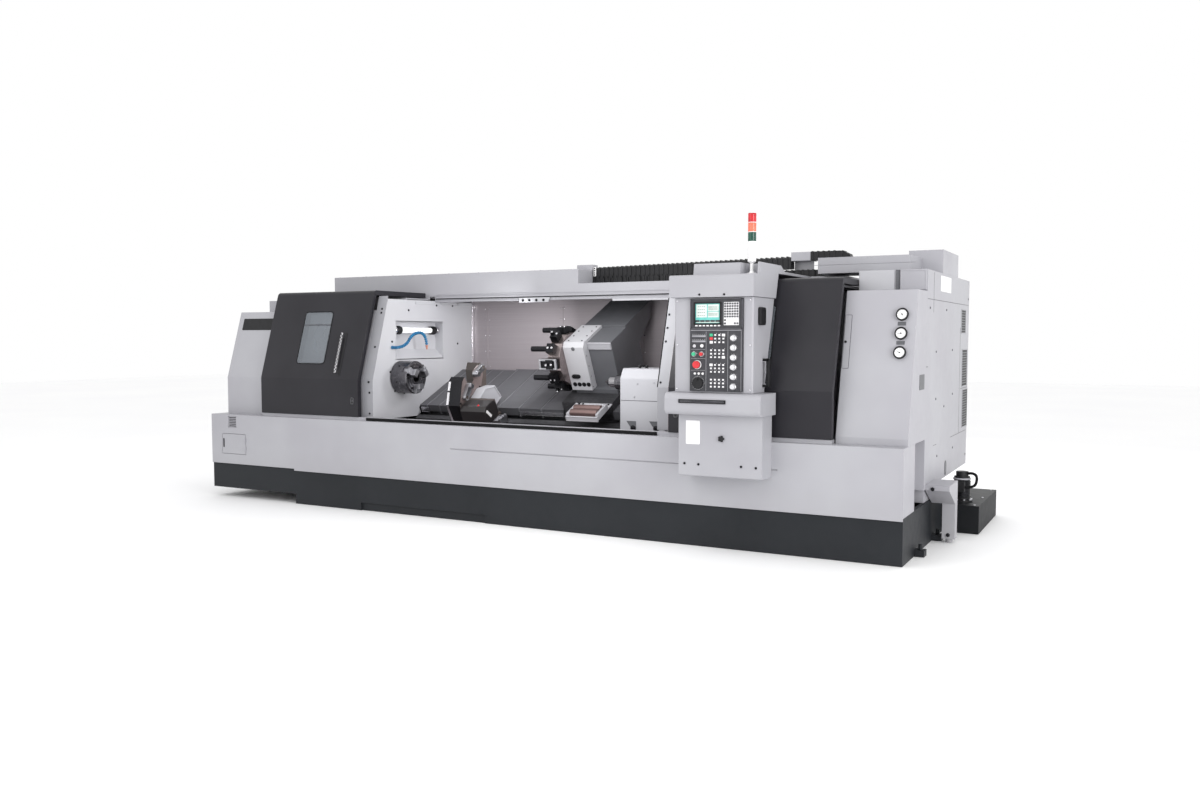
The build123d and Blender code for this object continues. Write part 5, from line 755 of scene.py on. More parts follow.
dress(settle(standPlate, standPlace, *stand["plate"]), "stand_plate", whitePlastic)
starTips = boltCircle(stand["knobReach"], range(0, 360, 72))
starArms = [settle(turned([(8.5, 0), (8.5, 12), (6, 15), (1, 15)], 14), Matrix(), x, y) for x, y in starTips]
starKnob = joined(starArms + [turned([(9, 0), (9, 6), (16, 8), (17, 16), (12, 19), (2, 20)], 24)])
dress(settle(starKnob, standPlace, *stand["knob"]), "stand_knob", blackNylon)
fasten("stand_screws", 9, 5, spots(standPlace, stand["screws"]), blackSteel)
fasten("hood_screws", 8, 4, spots(frontAt(0, stand["hoodFront"], 0), stand["hoodScrews"]), blackSteel)
print("console dressed")

# sliding doors: pane rim, bar, dark strip behind the pane as painted shade, chequered handle, guard strip
# with painted shadow, latch; the same on both
doorTrim = {
    "left_door": {"window": 1225, "handle": 1575, "latch": 1773, "fold": 1081},
    "right_door": {"window": 5543, "handle": 5193, "latch": 4990, "fold": 5687},
}
doorRise = {"window": 395, "bar": 520, "handle": 245, "handleFace": 28, "fold": 1558, "latch": 985}
for body, trim in doorTrim.items():
    windowPlace = leanAt(trim["window"], doorRise["window"])
    dress(settle(rimFrame(354, 514, 8, 3, corner=34, edge=1.2), windowPlace), body + "_window_rim",
          blackRubber, body)
    bar = settle(pressedPlate(338, 8, 3, 1.2, -0.8, edge=1), leanAt(trim["window"], doorRise["bar"]))
    dress(bar, body + "_window_bar", bezelPlastic, body)
    # dark strip on the pane's inner face, placed by the key fold: painted shade for the depth seen through
    # the glass
    paneShadePlace = seated(body + "_window", (trim["fold"], 1500, doorRise["fold"]), (0, -1, 0))
    dress(settle(pressedPlate(62, 480, 1, 3, -0.3, edge=0.3), paneShadePlace), body + "_window_shade_strip", bezelPlastic,
          body)
    square = pressedPlate(12, 16, 0.8, 0.8, 0.1, edge=0.2)
    chequer = [(6 if step % 2 else -6, -176 + step * 16) for step in range(23)]
    handlePlace = leanAt(trim["handle"], doorRise["handle"], doorRise["handleFace"])
    dress(copies(square, spots(handlePlace, chequer)), body + "_handle_chequer", blackRubber, body)
    # black guard strip beside the handle, widened to take in the handle's shadow: part real guard, part
    # painted shadow
    guard = settle(pressedPlate(26, 410, 3, 4, -1, corner=6, edge=1),
                   leanAt(trim["handle"] + 32, doorRise["handle"] - 6))
    dress(guard, body + "_handle_guard_and_shadow", blackNylon, body)
    latchPlace = frontOf(body, trim["latch"], doorRise["latch"])
    latch = [rimFrame(36, 62, 9, 4, corner=8, edge=1.2),
             settle(flatPlate(16, 8, 6, corner=2, edge=1), Matrix(), 4, 0)]
    dress(settle(joined(latch), latchPlace), body + "_latch", castIron, body)
    hole = settle(pressedPlate(20, 46, 1, 1.5, -0.4, corner=3, edge=0.3), latchPlace, out=0.2)
    dress(hole, body + "_latch_hole", blackNylon, body)
print("doors dressed")

# headstock wall: jamb screws, panel screws, bright corner trim, rim of the lamp bay, chuck screws
wall = {
    "face": 1950, "jamb": 1906, "jambIn": -78, "jambRises": (695, 657, 330, -2), "lowJamb": 1912,
    "lowHeights": (870, 1060),
    "screws": [(652, 1819), (1080, 1875), (1339, 1878), (408, 1522), (378, 1242), (438, 1061), (860, 1290),
               (1420, 1500)],
    "angles": (905, 1290, 1560), "bay": (822.5, 1535, 729, 364),
}
wallPlace = rightAt(wall["face"], 0, 0)
jambSpots = [leanAt(wall["jamb"], rise, wall["jambIn"]) for rise in wall["jambRises"]]
jambSpots += [frontOf("headstock_wall", wall["lowJamb"], z) for z in wall["lowHeights"]]
fasten("wall_screws", 10, 6, jambSpots + spots(wallPlace, wall["screws"]), blackSteel)
cornerTrim = [settle(pressedPlate(46, 719, 4, 8, 1.5, edge=1), wallPlace, 1688, 1588),
              settle(pressedPlate(52, 60, 16, 10, -3, edge=3), wallPlace, 1686, 1880)]
dress(joined(cornerTrim), "corner_trim", trimSteel)
# top angles and the lamp bay rim take the paler copy: painted lamp light
topAngles = [settle(pressedPlate(300, 26, 5, 6, -1, edge=1.5), wallPlace, y, 1893) for y in wall["angles"]]
dress(joined(topAngles), "wall_top_angles", paintedHighlightCoat)
y, z, width, height = wall["bay"]
dress(settle(rimFrame(width, height, 11, 3, corner=4, edge=1), wallPlace, y, z), "lamp_bay_rim", paintedHighlightCoat)
chuck = {"y": 520, "z": 1190, "rimX": 2030, "rimAngles": (75, 135, 195, 255, 315, 15), "boltCircle": 112,
         "clear": 260}
pinSpots = []
for angle in chuck["rimAngles"]:
    out = Matrix.Rotation(math.radians(angle), 4, "X") @ Vector((0, -1, 0))
    start = (chuck["rimX"], chuck["y"] + out.y * chuck["clear"], chuck["z"] + out.z * chuck["clear"])
    pinSpots.append(seated("chuck_body", start, -out, up=(1, 0, 0)))
fasten("chuck_rim_screws", 8, 5, pinSpots, blackSteel, "spindle")
faceRing = boltCircle(chuck["boltCircle"], range(0, 360, 60))
faceSpots = [seated("chuck_body", (2400, chuck["y"] + y, chuck["z"] + z), (-1, 0, 0)) for y, z in faceRing]
fasten("chuck_face_bolts", 13, 7, faceSpots, blackSteel, "spindle")

# tube lamp in its bay, with bright caps and black clamps
lampTube = {"x": 1894, "y": 482, "z": 1630, "long": 681, "radius": 26, "bay": 1860, "feet": (552, 1094)}
lampPlace = facing(at(lampTube["x"], lampTube["y"], lampTube["z"]), (0, 0, 1), (1, 0, 0))
long, thin = lampTube["long"], lampTube["radius"]
tube = settle(turned([(thin - 4, 66), (thin, 70), (thin, long - 70), (thin - 4, long - 66)], 32), lampPlace)
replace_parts(dress(tube, "lamp_tube", opalTube), "work_lamp")
capProfiles = [[(24, a), (34, a + 4), (37, a + 9), (37, a + 34), (35, a + 40), (28, a + 44)]
               for a in (1, long - 45)]
dress(joined([settle(turned(profile, 28), lampPlace) for profile in capProfiles]), "lamp_caps", trimSteel)
clampProfiles = [[(thin + 0.5, a), (38, a + 2), (41, a + 10), (41, a + 58), (36, a + 68),
                  (thin + 0.5, a + 70)]
                 for a in (44, long - 114)]
clamps = [settle(turned(profile, 12, ring=True), lampPlace) for profile in clampProfiles]
dress(joined(clamps), "lamp_clamps", blackNylon, smooth=20)
clampFeet = [settle(pressedPlate(54, 62, 12, 3, -2, corner=6, edge=2),
                    rightAt(lampTube["bay"], y, lampTube["z"]))
             for y in lampTube["feet"]]
dress(joined(clampFeet), "lamp_feet", blackNylon)

# self-holding coolant line of moulded ball segments, threaded along its route
coolantLine = {
    "route": [(1995, 409, 1468), (1995, 545, 1468), (1995, 655, 1606), (1995, 866, 1606), (1995, 866, 1450)],
    "foot": (1950, 409, 1468), "pitch": 22, "radius": 15.5,
}
guide = pathThrough(coolantLine["route"], 40)
bpy.context.view_layer.update()
line = bpy.data.meshes.new_from_object(guide)
beads = [vertex.co.copy() for vertex in line.vertices]
bpy.data.objects.remove(guide)
bpy.data.meshes.remove(line)
ballPlaces, run = [], 0
for here, there in zip(beads, beads[1:]):
    run += (there - here).length * 1000
    if run > coolantLine["pitch"] * len(ballPlaces):
        ahead = (there - here).normalized()
        ballPlaces.append(facing(here, (1, 0, 0), ahead.cross(Vector((1, 0, 0)))))
wide = coolantLine["radius"]
ball = turned([(8, -3), (wide - 1, 0), (wide, 4), (wide - 1.5, 10), (10, 14), (8.5, 17), (9.5, 20), (6, 23)],
              20)
coolantBalls = dress(copies(ball, ballPlaces[:-2]), "coolant_balls", blueAcetal, smooth=50)
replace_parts(coolantBalls, "coolant_hose")
nozzle = turned([(12, -6), (13.5, 0), (13.5, 8), (10, 14), (7, 34), (6, 38), (3.5, 38)], 20)
dress(settle(nozzle, ballPlaces[-2]), "coolant_nozzle", orangeAcetal)
lineFoot = turned([(17, 0), (17, 6), (14, 9), (14, 34), (12, 38), (8, 40)], 24)
dress(settle(lineFoot, rightAt(*coolantLine["foot"])), "coolant_foot", blueAcetal)
print("headstock wall dressed:", len(ballPlaces), "balls")

# work space: back wall seams and rivets, fascia rail with its hanger plate, sill seal
workSpace = {
    "backWall": 1713,
    "seams": [(2110, 1550, 8, 640), (2126, 1550, 3, 640), (3020, 1550, 8, 640), (3900, 1550, 8, 640)],
    "rivetColumns": (2092, 2144, 3002, 3038, 3882, 3918), "rivetRows": (1260, 1420, 1580, 1740, 1850),
    "sillSeal": (3384, 64, 824),
}
fascia = {
    "face": 1060, "middle": 3420, "long": 2920,
    "runs": [(1911, 10, 7), (1928, 4, 4), (1948, 14, 8), (1972, 8, 6)],
    "groove": 1937, "lip": (4493, 1897, 1146, 22), "hanger": (3111, 1048, 1908),
    "boltFace": 1039, "bolts": [(x, 1906) for x in (2988, 3058, 3135, 3212)],
}
backWall = frontAt(0, workSpace["backWall"], 0)
wallSeams = [settle(pressedPlate(w, h, 3, 1, -0.5, edge=0.8), backWall, x, z)
             for x, z, w, h in workSpace["seams"]]
dress(joined(wallSeams), "back_wall_seams", brushedSheet)
rivet = turned([(7, 0), (6.5, 2), (4, 3.5), (1, 4)], 12)
rivetSpots = [(x, z) for x in workSpace["rivetColumns"] for z in workSpace["rivetRows"]]
dress(copies(rivet, spots(backWall, rivetSpots)), "back_wall_rivets", trimSteel)
fasciaPlace, long = frontAt(fascia["middle"], fascia["face"], 0), fascia["long"]
rails = [settle(pressedPlate(long, high, thick, 1, -0.4, edge=1.5), fasciaPlace, 0, z)
         for z, high, thick in fascia["runs"]]
dress(joined(rails), "fascia_rail", lightCoat)
# the fascia lip takes the paler copy: a painted highlight along the rail
x, z, width, height = fascia["lip"]
dress(settle(pressedPlate(width, height, 6, 3, -1, edge=1.5), frontAt(x, fascia["face"], z)), "fascia_lip",
      paintedHighlightCoat)
dress(settle(pressedPlate(long, 9, 1.5, 1, -0.4, edge=0.4), fasciaPlace, 0, fascia["groove"]),
      "fascia_groove", blackRubber)
# the hanger plate takes the paler copy: painted lamp light
hanger = workTop(outlinePlate([(-169, -22), (150, -22), (169, 22), (-169, 22)], 8, 1.5),
                 [("in", 3), ("out", 0.8)])
dress(settle(hanger, frontAt(*fascia["hanger"])), "hanger_plate", paintedHighlightCoat)
fasten("hanger_bolts", 12, 8, spots(frontAt(0, fascia["boltFace"], 0), fascia["bolts"]), blackSteel)
sillSeal = pressedPlate(2892, 27, 15, 3, -2, edge=4)
dress(settle(sillSeal, frontAt(*workSpace["sillSeal"])), "sill_seal", blackRubber)


def slopeTop(x, along, above):  # facing away from the bed slope
    return facing(onSlant(x, along, above), (1, 0, 0), upSlope)


def slopeFront(x, along, above):  # facing down the bed slope
    return facing(onSlant(x, along, above), (1, 0, 0), offSlope)


# telescopic covers: the lip of each leaf, its wiper and its turned-down front
leafLip = {"wide": 16, "high": 3, "wiper": 7, "front": 90}
leafSets = [
    {"body": "frame", "edges": (2035, 2180, 2325, 2460), "low": 145, "high": 910, "top": -374},
    {"body": "frame", "edges": (4790, 4850), "low": 145, "high": 910, "top": -374},
    {"body": "carriage", "edges": (2627, 2860, 3090, 3330, 4200, 4380, 4545), "low": 137, "high": 918,
     "top": -366},
]
for leaves in leafSets:
    body, edges, low, top = leaves["body"], leaves["edges"], leaves["low"], leaves["top"]
    mid, reach = (low + leaves["high"]) / 2, leaves["high"] - low
    wide, high, drop = leafLip["wide"], leafLip["high"], leafLip["front"]
    lips = [settle(pressedPlate(wide, reach, high, 2, -0.6, edge=1), slopeTop(x, mid, top)) for x in edges]
    lips += [settle(pressedPlate(wide, drop, high, 2, -0.6, edge=1), slopeFront(x, low, top - 2 - drop / 2))
             for x in edges]
    dress(joined(lips), "cover_lips_" + body + str(edges[0]), trimCover, body)
    wipers = [settle(pressedPlate(leafLip["wiper"], reach, 2, 1, 0.4, edge=0.6), slopeTop(x - 12, mid, top))
              for x in edges]
    dress(joined(wipers), "cover_wipers_" + body + str(edges[0]), castIron, body, slot="way_steel")
frontStrip = settle(pressedPlate(470, 40, 4, 6, -1, edge=1.5), slopeFront(3320, 137, -418))
dress(frontStrip, "cover_front_strip", trimSteel, "carriage")
startBlock = settle(pressedPlate(96, 60, 14, 6, -3, edge=3), slopeFront(2010, 145, -420))
dress(startBlock, "cover_start_block", trimSteel)
print("covers dressed")

# turret housing: holes and plug on its front, screws on its top and side, side ledge
turret = {
    "front": 305, "holes": [(x, -192) for x in (3640, 3686, 3732, 3778)], "plug": (3672, -112),
    "crossHead": (3702, 156),
    "top": 205, "topScrews": [(x, s) for x in (3636, 3770) for s in (370, 470, 570, 660)],
    "side": 3805, "sideScrews": [(330, n) for n in (-220, -120, -20, 80)], "ledge": (3923, 390, 148),
}
turretFront = slopeFront(0, turret["front"], 0)
turretHole = turned([(21, 0), (21, 2), (18.5, 4), (16, 1.2), (1, 1.2)], 24)
dress(copies(turretHole, spots(turretFront, turret["holes"])), "turret_holes", blackSteel, "cross_slide")
oval = pressedPlate(84, 38, 13, 7, -4, corner=18.5, edge=4)
dress(settle(oval, turretFront, *turret["plug"]), "turret_plug", blackNylon, "cross_slide")
crossBars = [settle(flatPlate(w, h, 2, edge=0.6), Matrix(), out=4.6, turn=45) for w, h in ((20, 4), (4, 20))]
crossHead = joined([turned([(18, 0), (18, 3), (14, 5), (1, 5)], 8)] + crossBars)
dress(settle(crossHead, turretFront, *turret["crossHead"]), "turret_cross_head", slideCoat, "cross_slide",
      slot="dark_steel")
fasten("turret_top_screws", 7, 4, spots(slopeTop(0, 0, turret["top"]), turret["topScrews"]), blackSteel,
       "cross_slide")
turretSide = facing(onSlant(turret["side"], 0, 0), upSlope, offSlope)
fasten("turret_side_screws", 7, 4, spots(turretSide, turret["sideScrews"]), trimSteel, "cross_slide")
ledge = pressedPlate(234, 64, 16, 8, -2, edge=3)
dress(settle(ledge, slopeFront(*turret["ledge"])), "turret_ledge", lightCoat, "cross_slide")

# turret disc: bolts on its holders, cap with its bolts, one framed tool block
disc = {"along": 430, "left": 3480, "stations": 12, "boltColumns": (3500, 3540), "capBolts": 78}
toolBlock = {"angle": 165, "left": 3412, "right": 3588, "low": 230, "high": 283, "wide": 98, "frame": 18}


def discOutward(angle):  # from the disc's axis, turned from the slope in degrees
    return Vector(upSlope) * math.cos(math.radians(angle)) + Vector(offSlope) * math.sin(math.radians(angle))


holderSpots = []
for step in range(disc["stations"]):
    out = discOutward(step * 360 / disc["stations"] + 15)
    for x in disc["boltColumns"]:
        far = onSlant(x, disc["along"], 0) + out * 0.5
        start = (far.x * 1000 + 3350, far.y * 1000 + 740, far.z * 1000)
        holderSpots.append(seated("turret_tools", start, -out, up=(1, 0, 0)))
fasten("holder_bolts", 11, 6, holderSpots, trimSteel, "turret")
discFace = facing(onSlant(disc["left"], disc["along"], 0), (0, -1, 0), (0, 0, 1))
discCap = turned([(96, 0), (96, 8), (90, 12), (60, 14), (56, 10), (22, 10), (20, 16), (4, 17)], 48)
dress(settle(discCap, discFace), "disc_cap", discSteel, "turret")
capRing = boltCircle(disc["capBolts"], range(15, 375, 30))
fasten("disc_cap_bolts", 9, 6, spots(discFace, capRing, out=12), blackSteel, "turret")
outward = discOutward(toolBlock["angle"])
blockMiddle = onSlant((toolBlock["left"] + toolBlock["right"]) / 2, disc["along"], 0)
blockPlace = facing(blockMiddle + outward * toolBlock["low"] / 1000, (1, 0, 0),
                    outward.cross(Vector((1, 0, 0))))
blockLong, blockHigh = toolBlock["right"] - toolBlock["left"], toolBlock["high"] - toolBlock["low"]
blockWide, blockRim = toolBlock["wide"], toolBlock["frame"]
blockCore = pressedPlate(blockLong - 8, blockWide - 8, blockHigh - 5, blockRim, -6, edge=2)
dress(settle(blockCore, blockPlace), "turret_tool_block", blackSteel, "turret")
blockFrame = settle(rimFrame(blockLong, blockWide, blockRim, 16, edge=2), blockPlace, out=blockHigh - 16)
dress(blockFrame, "tool_block_frame", groundSteel, "turret")
cornerX, cornerY = (blockLong - blockRim) / 2, (blockWide - blockRim) / 2
blockCorners = [(x, y) for x in (-cornerX, cornerX) for y in (-cornerY, cornerY)]
fasten("tool_block_screws", 7, 5, spots(blockPlace, blockCorners, out=blockHigh - 4), trimSteel, "turret")

# chip channel on the carriage: tray with cheeks, two rollers, bolts
channel = {"left": 3756, "right": 4066, "low": -132, "floor": -302, "rollers": ((-78, 40), (-6, 44)),
           "bolts": (88, 130)}
mid, wide = (channel["left"] + channel["right"]) / 2, channel["right"] - channel["left"]
floorAt = channel["floor"]
tray = [settle(pressedPlate(wide, 282, 10, 8, -3, edge=2), slopeTop(mid, 9, floorAt)),
        settle(pressedPlate(wide, 46, 12, 4, -2, edge=2), slopeFront(mid, channel["low"], floorAt + 13))]
tray += [settle(pressedPlate(22, 190, 48, 4, -4, edge=3), slopeTop(x, -30, floorAt + 8))
         for x in (channel["left"] + 12, channel["right"] - 12)]
dress(joined(tray), "chip_channel", whiteCoat, "carriage")
rollerLine = facing(onSlant(channel["left"] + 24, 0, 0), upSlope, offSlope)
roller = turned([(14, 0), (30, 2), (31, 6), (31, wide - 54), (30, wide - 50), (14, wide - 48)], 28)
rollerSpots = spots(rollerLine, [(along, floorAt + above) for along, above in channel["rollers"]])
dress(copies(roller, rollerSpots), "chip_rollers", rollerBrown, "carriage")
channelBolts = [(x, s) for x in (channel["left"] + 30, channel["right"] - 30) for s in channel["bolts"]]
fasten("chip_channel_bolts", 9, 6, spots(slopeTop(0, 0, floorAt + 9), channelBolts), blackSteel, "carriage")
print("turret dressed")

# steady rest: guard with an open notch, side skin with bright strips, pale cover, dark box and its marks
steady = {
    "left": 2601, "right": 2747.1, "thick": 146, "stripX": 2616,
    "guard": [(-236, -150), (120, -152), (200, -60), (228, 30), (150, 60), (64, 42),
              (50, -36), (0, -62), (-50, -36), (-64, 46), (-110, 28), (-168, -52)],
    "sideSkin": [(-246, -150), (-236, -146), (-162, -55), (-104, 22), (-62, 39), (-64, 48), (-112, 31),
                 (-172, -46)],
    "frontSkin": [(-228, -395), (-215, -395), (-236, -148), (-246, -150)],
    "strips": [((-246, -150), (-172, -46)), ((-172, -46), (-112, 31)), ((-228, -395), (-246, -150))],
    "cover": [(-105, -178), (100, -372), (132, -350), (262, -318), (206, -172), (60, -128)],
    "box": [(-252, -296), (-217, -332), (-94, -332), (-58, -298), (-58, -199), (-94, -163), (-217, -163),
            (-252, -198)],
    "boxLong": 263, "plate": (-200, -240), "plateTurn": -57, "lamp": (2920, -200, -163),
    "bolts": [(-220, -138), (105, -136)],
}
steadyRight = facing(onSlant(steady["right"], 0, 0), upSlope, offSlope)
steadyLeft = facing(onSlant(steady["left"], 0, 0), upSlope, offSlope)
dress(settle(outlinePlate(steady["guard"], 1.4, 0.4), steadyRight), "steady_guard", guardBrown, "steady")
for name, outline in (("steady_side_skin", steady["sideSkin"]), ("steady_front_skin", steady["frontSkin"])):
    dress(settle(outlinePlate(outline, steady["thick"], 1.5), steadyLeft), name, blackSteel, "steady")
stripPieces = []
for low, high in steady["strips"]:
    run = Vector(upSlope) * (high[0] - low[0]) + Vector(offSlope) * (high[1] - low[1])
    middle = onSlant(steady["stripX"], (low[0] + high[0]) / 2, (low[1] + high[1]) / 2)
    strip = pressedPlate(24, run.length - 12, 3, 3, -0.8, edge=1)
    stripPieces.append(settle(strip, facing(middle, (1, 0, 0), run)))
dress(joined(stripPieces), "steady_strips", trimSteel, "steady")
paleCover = workTop(outlinePlate(steady["cover"], 96, 4), [("in", 10), ("out", -4)])
dress(settle(paleCover, steadyRight, out=1.5), "steady_pale_cover", lightCoat, "steady")
darkBox = workTop(outlinePlate(steady["box"], steady["boxLong"], 5), [("in", 4), ("out", 1)])
dress(settle(darkBox, steadyRight), "steady_box", blackBox, "steady")
boxPlate = pressedPlate(92, 26, 2, 1, 0.3, corner=2, edge=0.6)
boxPlate = settle(boxPlate, steadyRight, *steady["plate"], out=steady["boxLong"] + 0.6,
                  turn=steady["plateTurn"])
dress(boxPlate, "steady_box_plate", whitePlastic, "steady")
boxLamp = turned([(11, 0), (11, 3), (9, 5), (7, 8), (2, 9)], 18)
dress(settle(boxLamp, slopeTop(*steady["lamp"])), "steady_lamp", lensRed, "steady")
footBlock = [settle(pressedPlate(112, 118, 62, 10, -4, edge=4), slopeTop(2953, -12, -448)),
             settle(pressedPlate(20, 118, 18, 3, -2, edge=3), slopeTop(2998, -12, -390))]
dress(joined(footBlock), "steady_foot_block", groundSteel, "steady")
fasten("steady_bolts", 10, 6, spots(steadyRight, steady["bolts"], out=1.2), blackSteel, "steady")
print("steady rest dressed")

# tailstock: cover seam, screws, top knobs, clamp pockets and the quill's wiper
tail = {
    "seam": (4552, 1050), "knobs": (4483, 4545),
    "screws": ((4478, 1080), (4507, 1187), (4651, 1199), (4720, 1110)),
    "pockets": ((4450, 838), (4655, 842)), "pocket": [(-44, 46), (20, -40), (44, -40), (44, 46)],
    "pocketBolt": (18, -12), "boltOut": 1.6, "quill": (4350, 520, 1190),
}
tailSeam = pressedPlate(392, 4, 1.6, 1, -0.4, edge=0.4)
dress(settle(tailSeam, frontOf("tailstock", *tail["seam"])), "tailstock_seam", bezelPlastic, "tailstock")
fasten("tailstock_screws", 7, 4, [frontOf("tailstock", x, z) for x, z in tail["screws"]], groundSteel,
       "tailstock")
tailKnob = turned([(15, 0), (15, 3), (10, 6), (9, 12), (14, 16), (13, 24), (8, 28), (2, 29)], 22)
knobSpots = [seated("tailstock", (x, 470, 1700), (0, 0, -1), up=(0, 1, 0)) for x in tail["knobs"]]
dress(copies(tailKnob, knobSpots), "tailstock_knobs", blackNylon, "tailstock")
pocketPlaces = [frontOf("tailstock", x, z) for x, z in tail["pockets"]]
pocket = workTop(outlinePlate(tail["pocket"], 2, 0.6), [("in", 4), ("out", -1)])
dress(copies(pocket, pocketPlaces), "tailstock_pockets", slideCoat, "tailstock", slot="casting_paint")
pocketNut = settle(turned([(14, 0), (14, 13), (12, 15), (2, 15)], 6), Matrix(), out=5)
pocketBolt = joined([turned([(24, 0), (24, 4), (21, 6), (12, 6), (12, 9), (2, 9)], 24), pocketNut])
boltPlaces = [spots(place, [tail["pocketBolt"]], out=tail["boltOut"])[0] for place in pocketPlaces]
dress(copies(pocketBolt, boltPlaces), "tailstock_bolts", blackSteel, "tailstock")
quillRing = turned([(61, 0), (80, 0), (80, 8), (76, 12), (64, 12), (61, 9)], 48, ring=True)
dress(settle(quillRing, leftAt(*tail["quill"])), "quill_wiper", blackRubber, "tailstock")
print("tailstock dressed")

# light grey plates on both jambs of the opening, darkened as painted shade of the recess; the right one with
# a seal and screws
jambPlates = {
    "left": {"seat": 1915, "carrier": "headstock_wall", "middle": 1896, "wide": 108, "thick": 1.5, "deep": 0,
             "tall": 800},
    "right": {"seat": 4925, "carrier": "splash_guard", "middle": 4850, "wide": 110, "thick": 4, "deep": 12,
              "tall": 735},
}
jambTrim = {"lowTall": 330, "lowMiddle": 1010, "in": -78, "seal": (4794, 386, -94), "screwX": 4816,
            "screwRises": (610, 500, 390, 60), "screwIn": -85.8}
for side, jamb in jambPlates.items():
    lowPlace = frontOf(jamb["carrier"], jamb["seat"], jambTrim["lowMiddle"])
    highPlace = leanAt(jamb["middle"], 20 + jamb["tall"] / 2, jambTrim["in"] - jamb["deep"])
    lowPlate = pressedPlate(jamb["wide"], jambTrim["lowTall"], jamb["thick"], 2, 0.3, edge=0.5)
    highPlate = pressedPlate(jamb["wide"], jamb["tall"], jamb["thick"], 2, 0.3, edge=0.5)
    plates = [settle(lowPlate, lowPlace, jamb["middle"] - jamb["seat"], out=-jamb["deep"]),
              settle(highPlate, highPlace)]
    dress(joined(plates), side + "_jamb_plate", shadedLightCoat)
dress(settle(pressedPlate(10, 725, 9, 2, -1, edge=2), leanAt(*jambTrim["seal"])), "right_jamb_seal",
      blackRubber)
jambScrews = [leanAt(jambTrim["screwX"], rise, jambTrim["screwIn"]) for rise in jambTrim["screwRises"]]
fasten("right_jamb_screws", 9, 5, jambScrews, blackSteel)


# backing, rim and slats, in the panel's own colour where pale
def ventGrille(name, place, width, height, gap, body="frame", pale=False):
    backing = settle(pressedPlate(width - 4, height - 4, 1, 3, -0.3, edge=0.3), place)
    dress(backing, name + "_backing", bezelPlastic if pale else blackNylon, body)
    dress(settle(rimFrame(width + 12, height + 12, 8, 4, corner=5, edge=1.2), place), name + "_rim",
          lightCoat, body)
    count = int((height - 8) // gap)
    slat = pressedPlate(width - 2, gap * 0.42, 3.5, 1, -0.5, edge=1)
    rows = [(0, (step - (count - 1) / 2) * gap) for step in range(count)]
    dress(copies(slat, spots(place, rows)), name + "_slats", lightCoat if pale else slideCoat, body)


def seamSet(name, place, lines, finish=bezelPlastic):  # shut lines between panels
    strips = [settle(pressedPlate(w, h, 0.8, min(w, h) * 0.25, -0.3, edge=0.2), place, x, y)
              for x, y, w, h in lines]
    dress(joined(strips), name, finish, slot="black_plastic")


# lower panel and left end: vents, service door latch and fold, blank plate and screws on the cover
leftEnd = {
    "vent": (286, 8, 740), "doorMiddle": (304.5, 525), "latch": (167, 532), "plate": (360, 1690),
    "screwDepths": (420, 900, 1500), "screwHeights": (880, 1400, 1800), "sideVent": (1100, 1300),
}
ventGrille("panel_vent", frontAt(*leftEnd["vent"]), 96, 96, 16, pale=True)
accessFace = frontOf("access_door", 300, 525).translation.y * 1000 + 740
accessPlace = frontAt(0, accessFace, 0)
doorSlot = settle(pressedPlate(15, 88, 3, 3, -1.5, corner=7, edge=1), accessPlace, *leftEnd["latch"])
dress(doorSlot, "access_latch", blackNylon, "access_door")
accessRim = settle(rimFrame(319, 194, 3, 1.2, corner=5, edge=0.4), accessPlace, *leftEnd["doorMiddle"])
dress(accessRim, "access_fold", lightCoat, "access_door")
coverPlate = settle(pressedPlate(420, 118, 3, 5, 0.6, corner=6, edge=1),
                    frontOf("left_end_cover", *leftEnd["plate"]))
dress(coverPlate, "cover_blank_plate", blackNylon)
coverGrid = [(y, z) for y in leftEnd["screwDepths"] for z in leftEnd["screwHeights"]]
fasten("cover_screws", 8, 4, [seated("left_end_cover", (-400, y, z), (1, 0, 0)) for y, z in coverGrid],
       lightCoat)
ventGrille("left_side_vent", seated("left_end_cover", (-400, *leftEnd["sideVent"]), (1, 0, 0)), 520, 300, 30)
print("lower panel and left end dressed")

# right cabinet: gauges, hatch with lock, blank plates; leaning face read by looking at it from the front
gauge = {"x": 6605, "heights": (1456, 1590, 1723), "needles": (60, 95, 35), "plateX": 6603,
         "plates": (1523, 1657)}
hatch = {"x": 6226, "low": 1340, "middle": 1532, "high": 1725, "wide": 50, "lock": (6216, 1530)}
gaugePlaces = [frontOf("pressure_gauges", gauge["x"], z) for z in gauge["heights"]]
gaugeRim = turned([(34, 0), (43.5, -14), (43.5, 2), (41, 5), (36, 5), (34, 2)], 40, ring=True)
dress(copies(gaugeRim, gaugePlaces), "gauge_rims", blackNylon)
dress(copies(turned([(35, 0), (35, 0.8), (33, 1.2), (2, 1.2)], 36), gaugePlaces), "gauge_dials", whitePlastic)
gaugeTick = pressedPlate(1.6, 5, 0.5, 0.3, 0.1, edge=0.2)
dress(copies(gaugeTick, dialMarks(gaugePlaces, range(-135, 136, 27), 29, out=1.2)), "gauge_ticks", blackNylon)
needleHub = turned([(5, 0), (5, 1.6), (3, 2.6), (1, 2.8)], 14)
needle = joined([outlinePlate([(-2.2, -10), (2.2, -10), (0.6, 25), (-0.6, 25)], 0.8, 0.2), needleHub])
needlePlaces = [spots(place, [(0, 0)], out=1.6, turn=turn)[0]
                for place, turn in zip(gaugePlaces, gauge["needles"])]
dress(copies(needle, needlePlaces), "gauge_needles", blackSteel)
gaugePlate = pressedPlate(58, 26, 1.2, 1.2, 0.2, corner=2, edge=0.4)
platePlaces = [frontOf("right_cabinet", gauge["plateX"], z) for z in gauge["plates"]]
dress(copies(gaugePlate, platePlaces), "gauge_plates", slideCoat)
hatchLow, hatchMid, hatchHigh = (frontOf("right_cabinet", hatch["x"], hatch[key])
                                 for key in ("low", "middle", "high"))
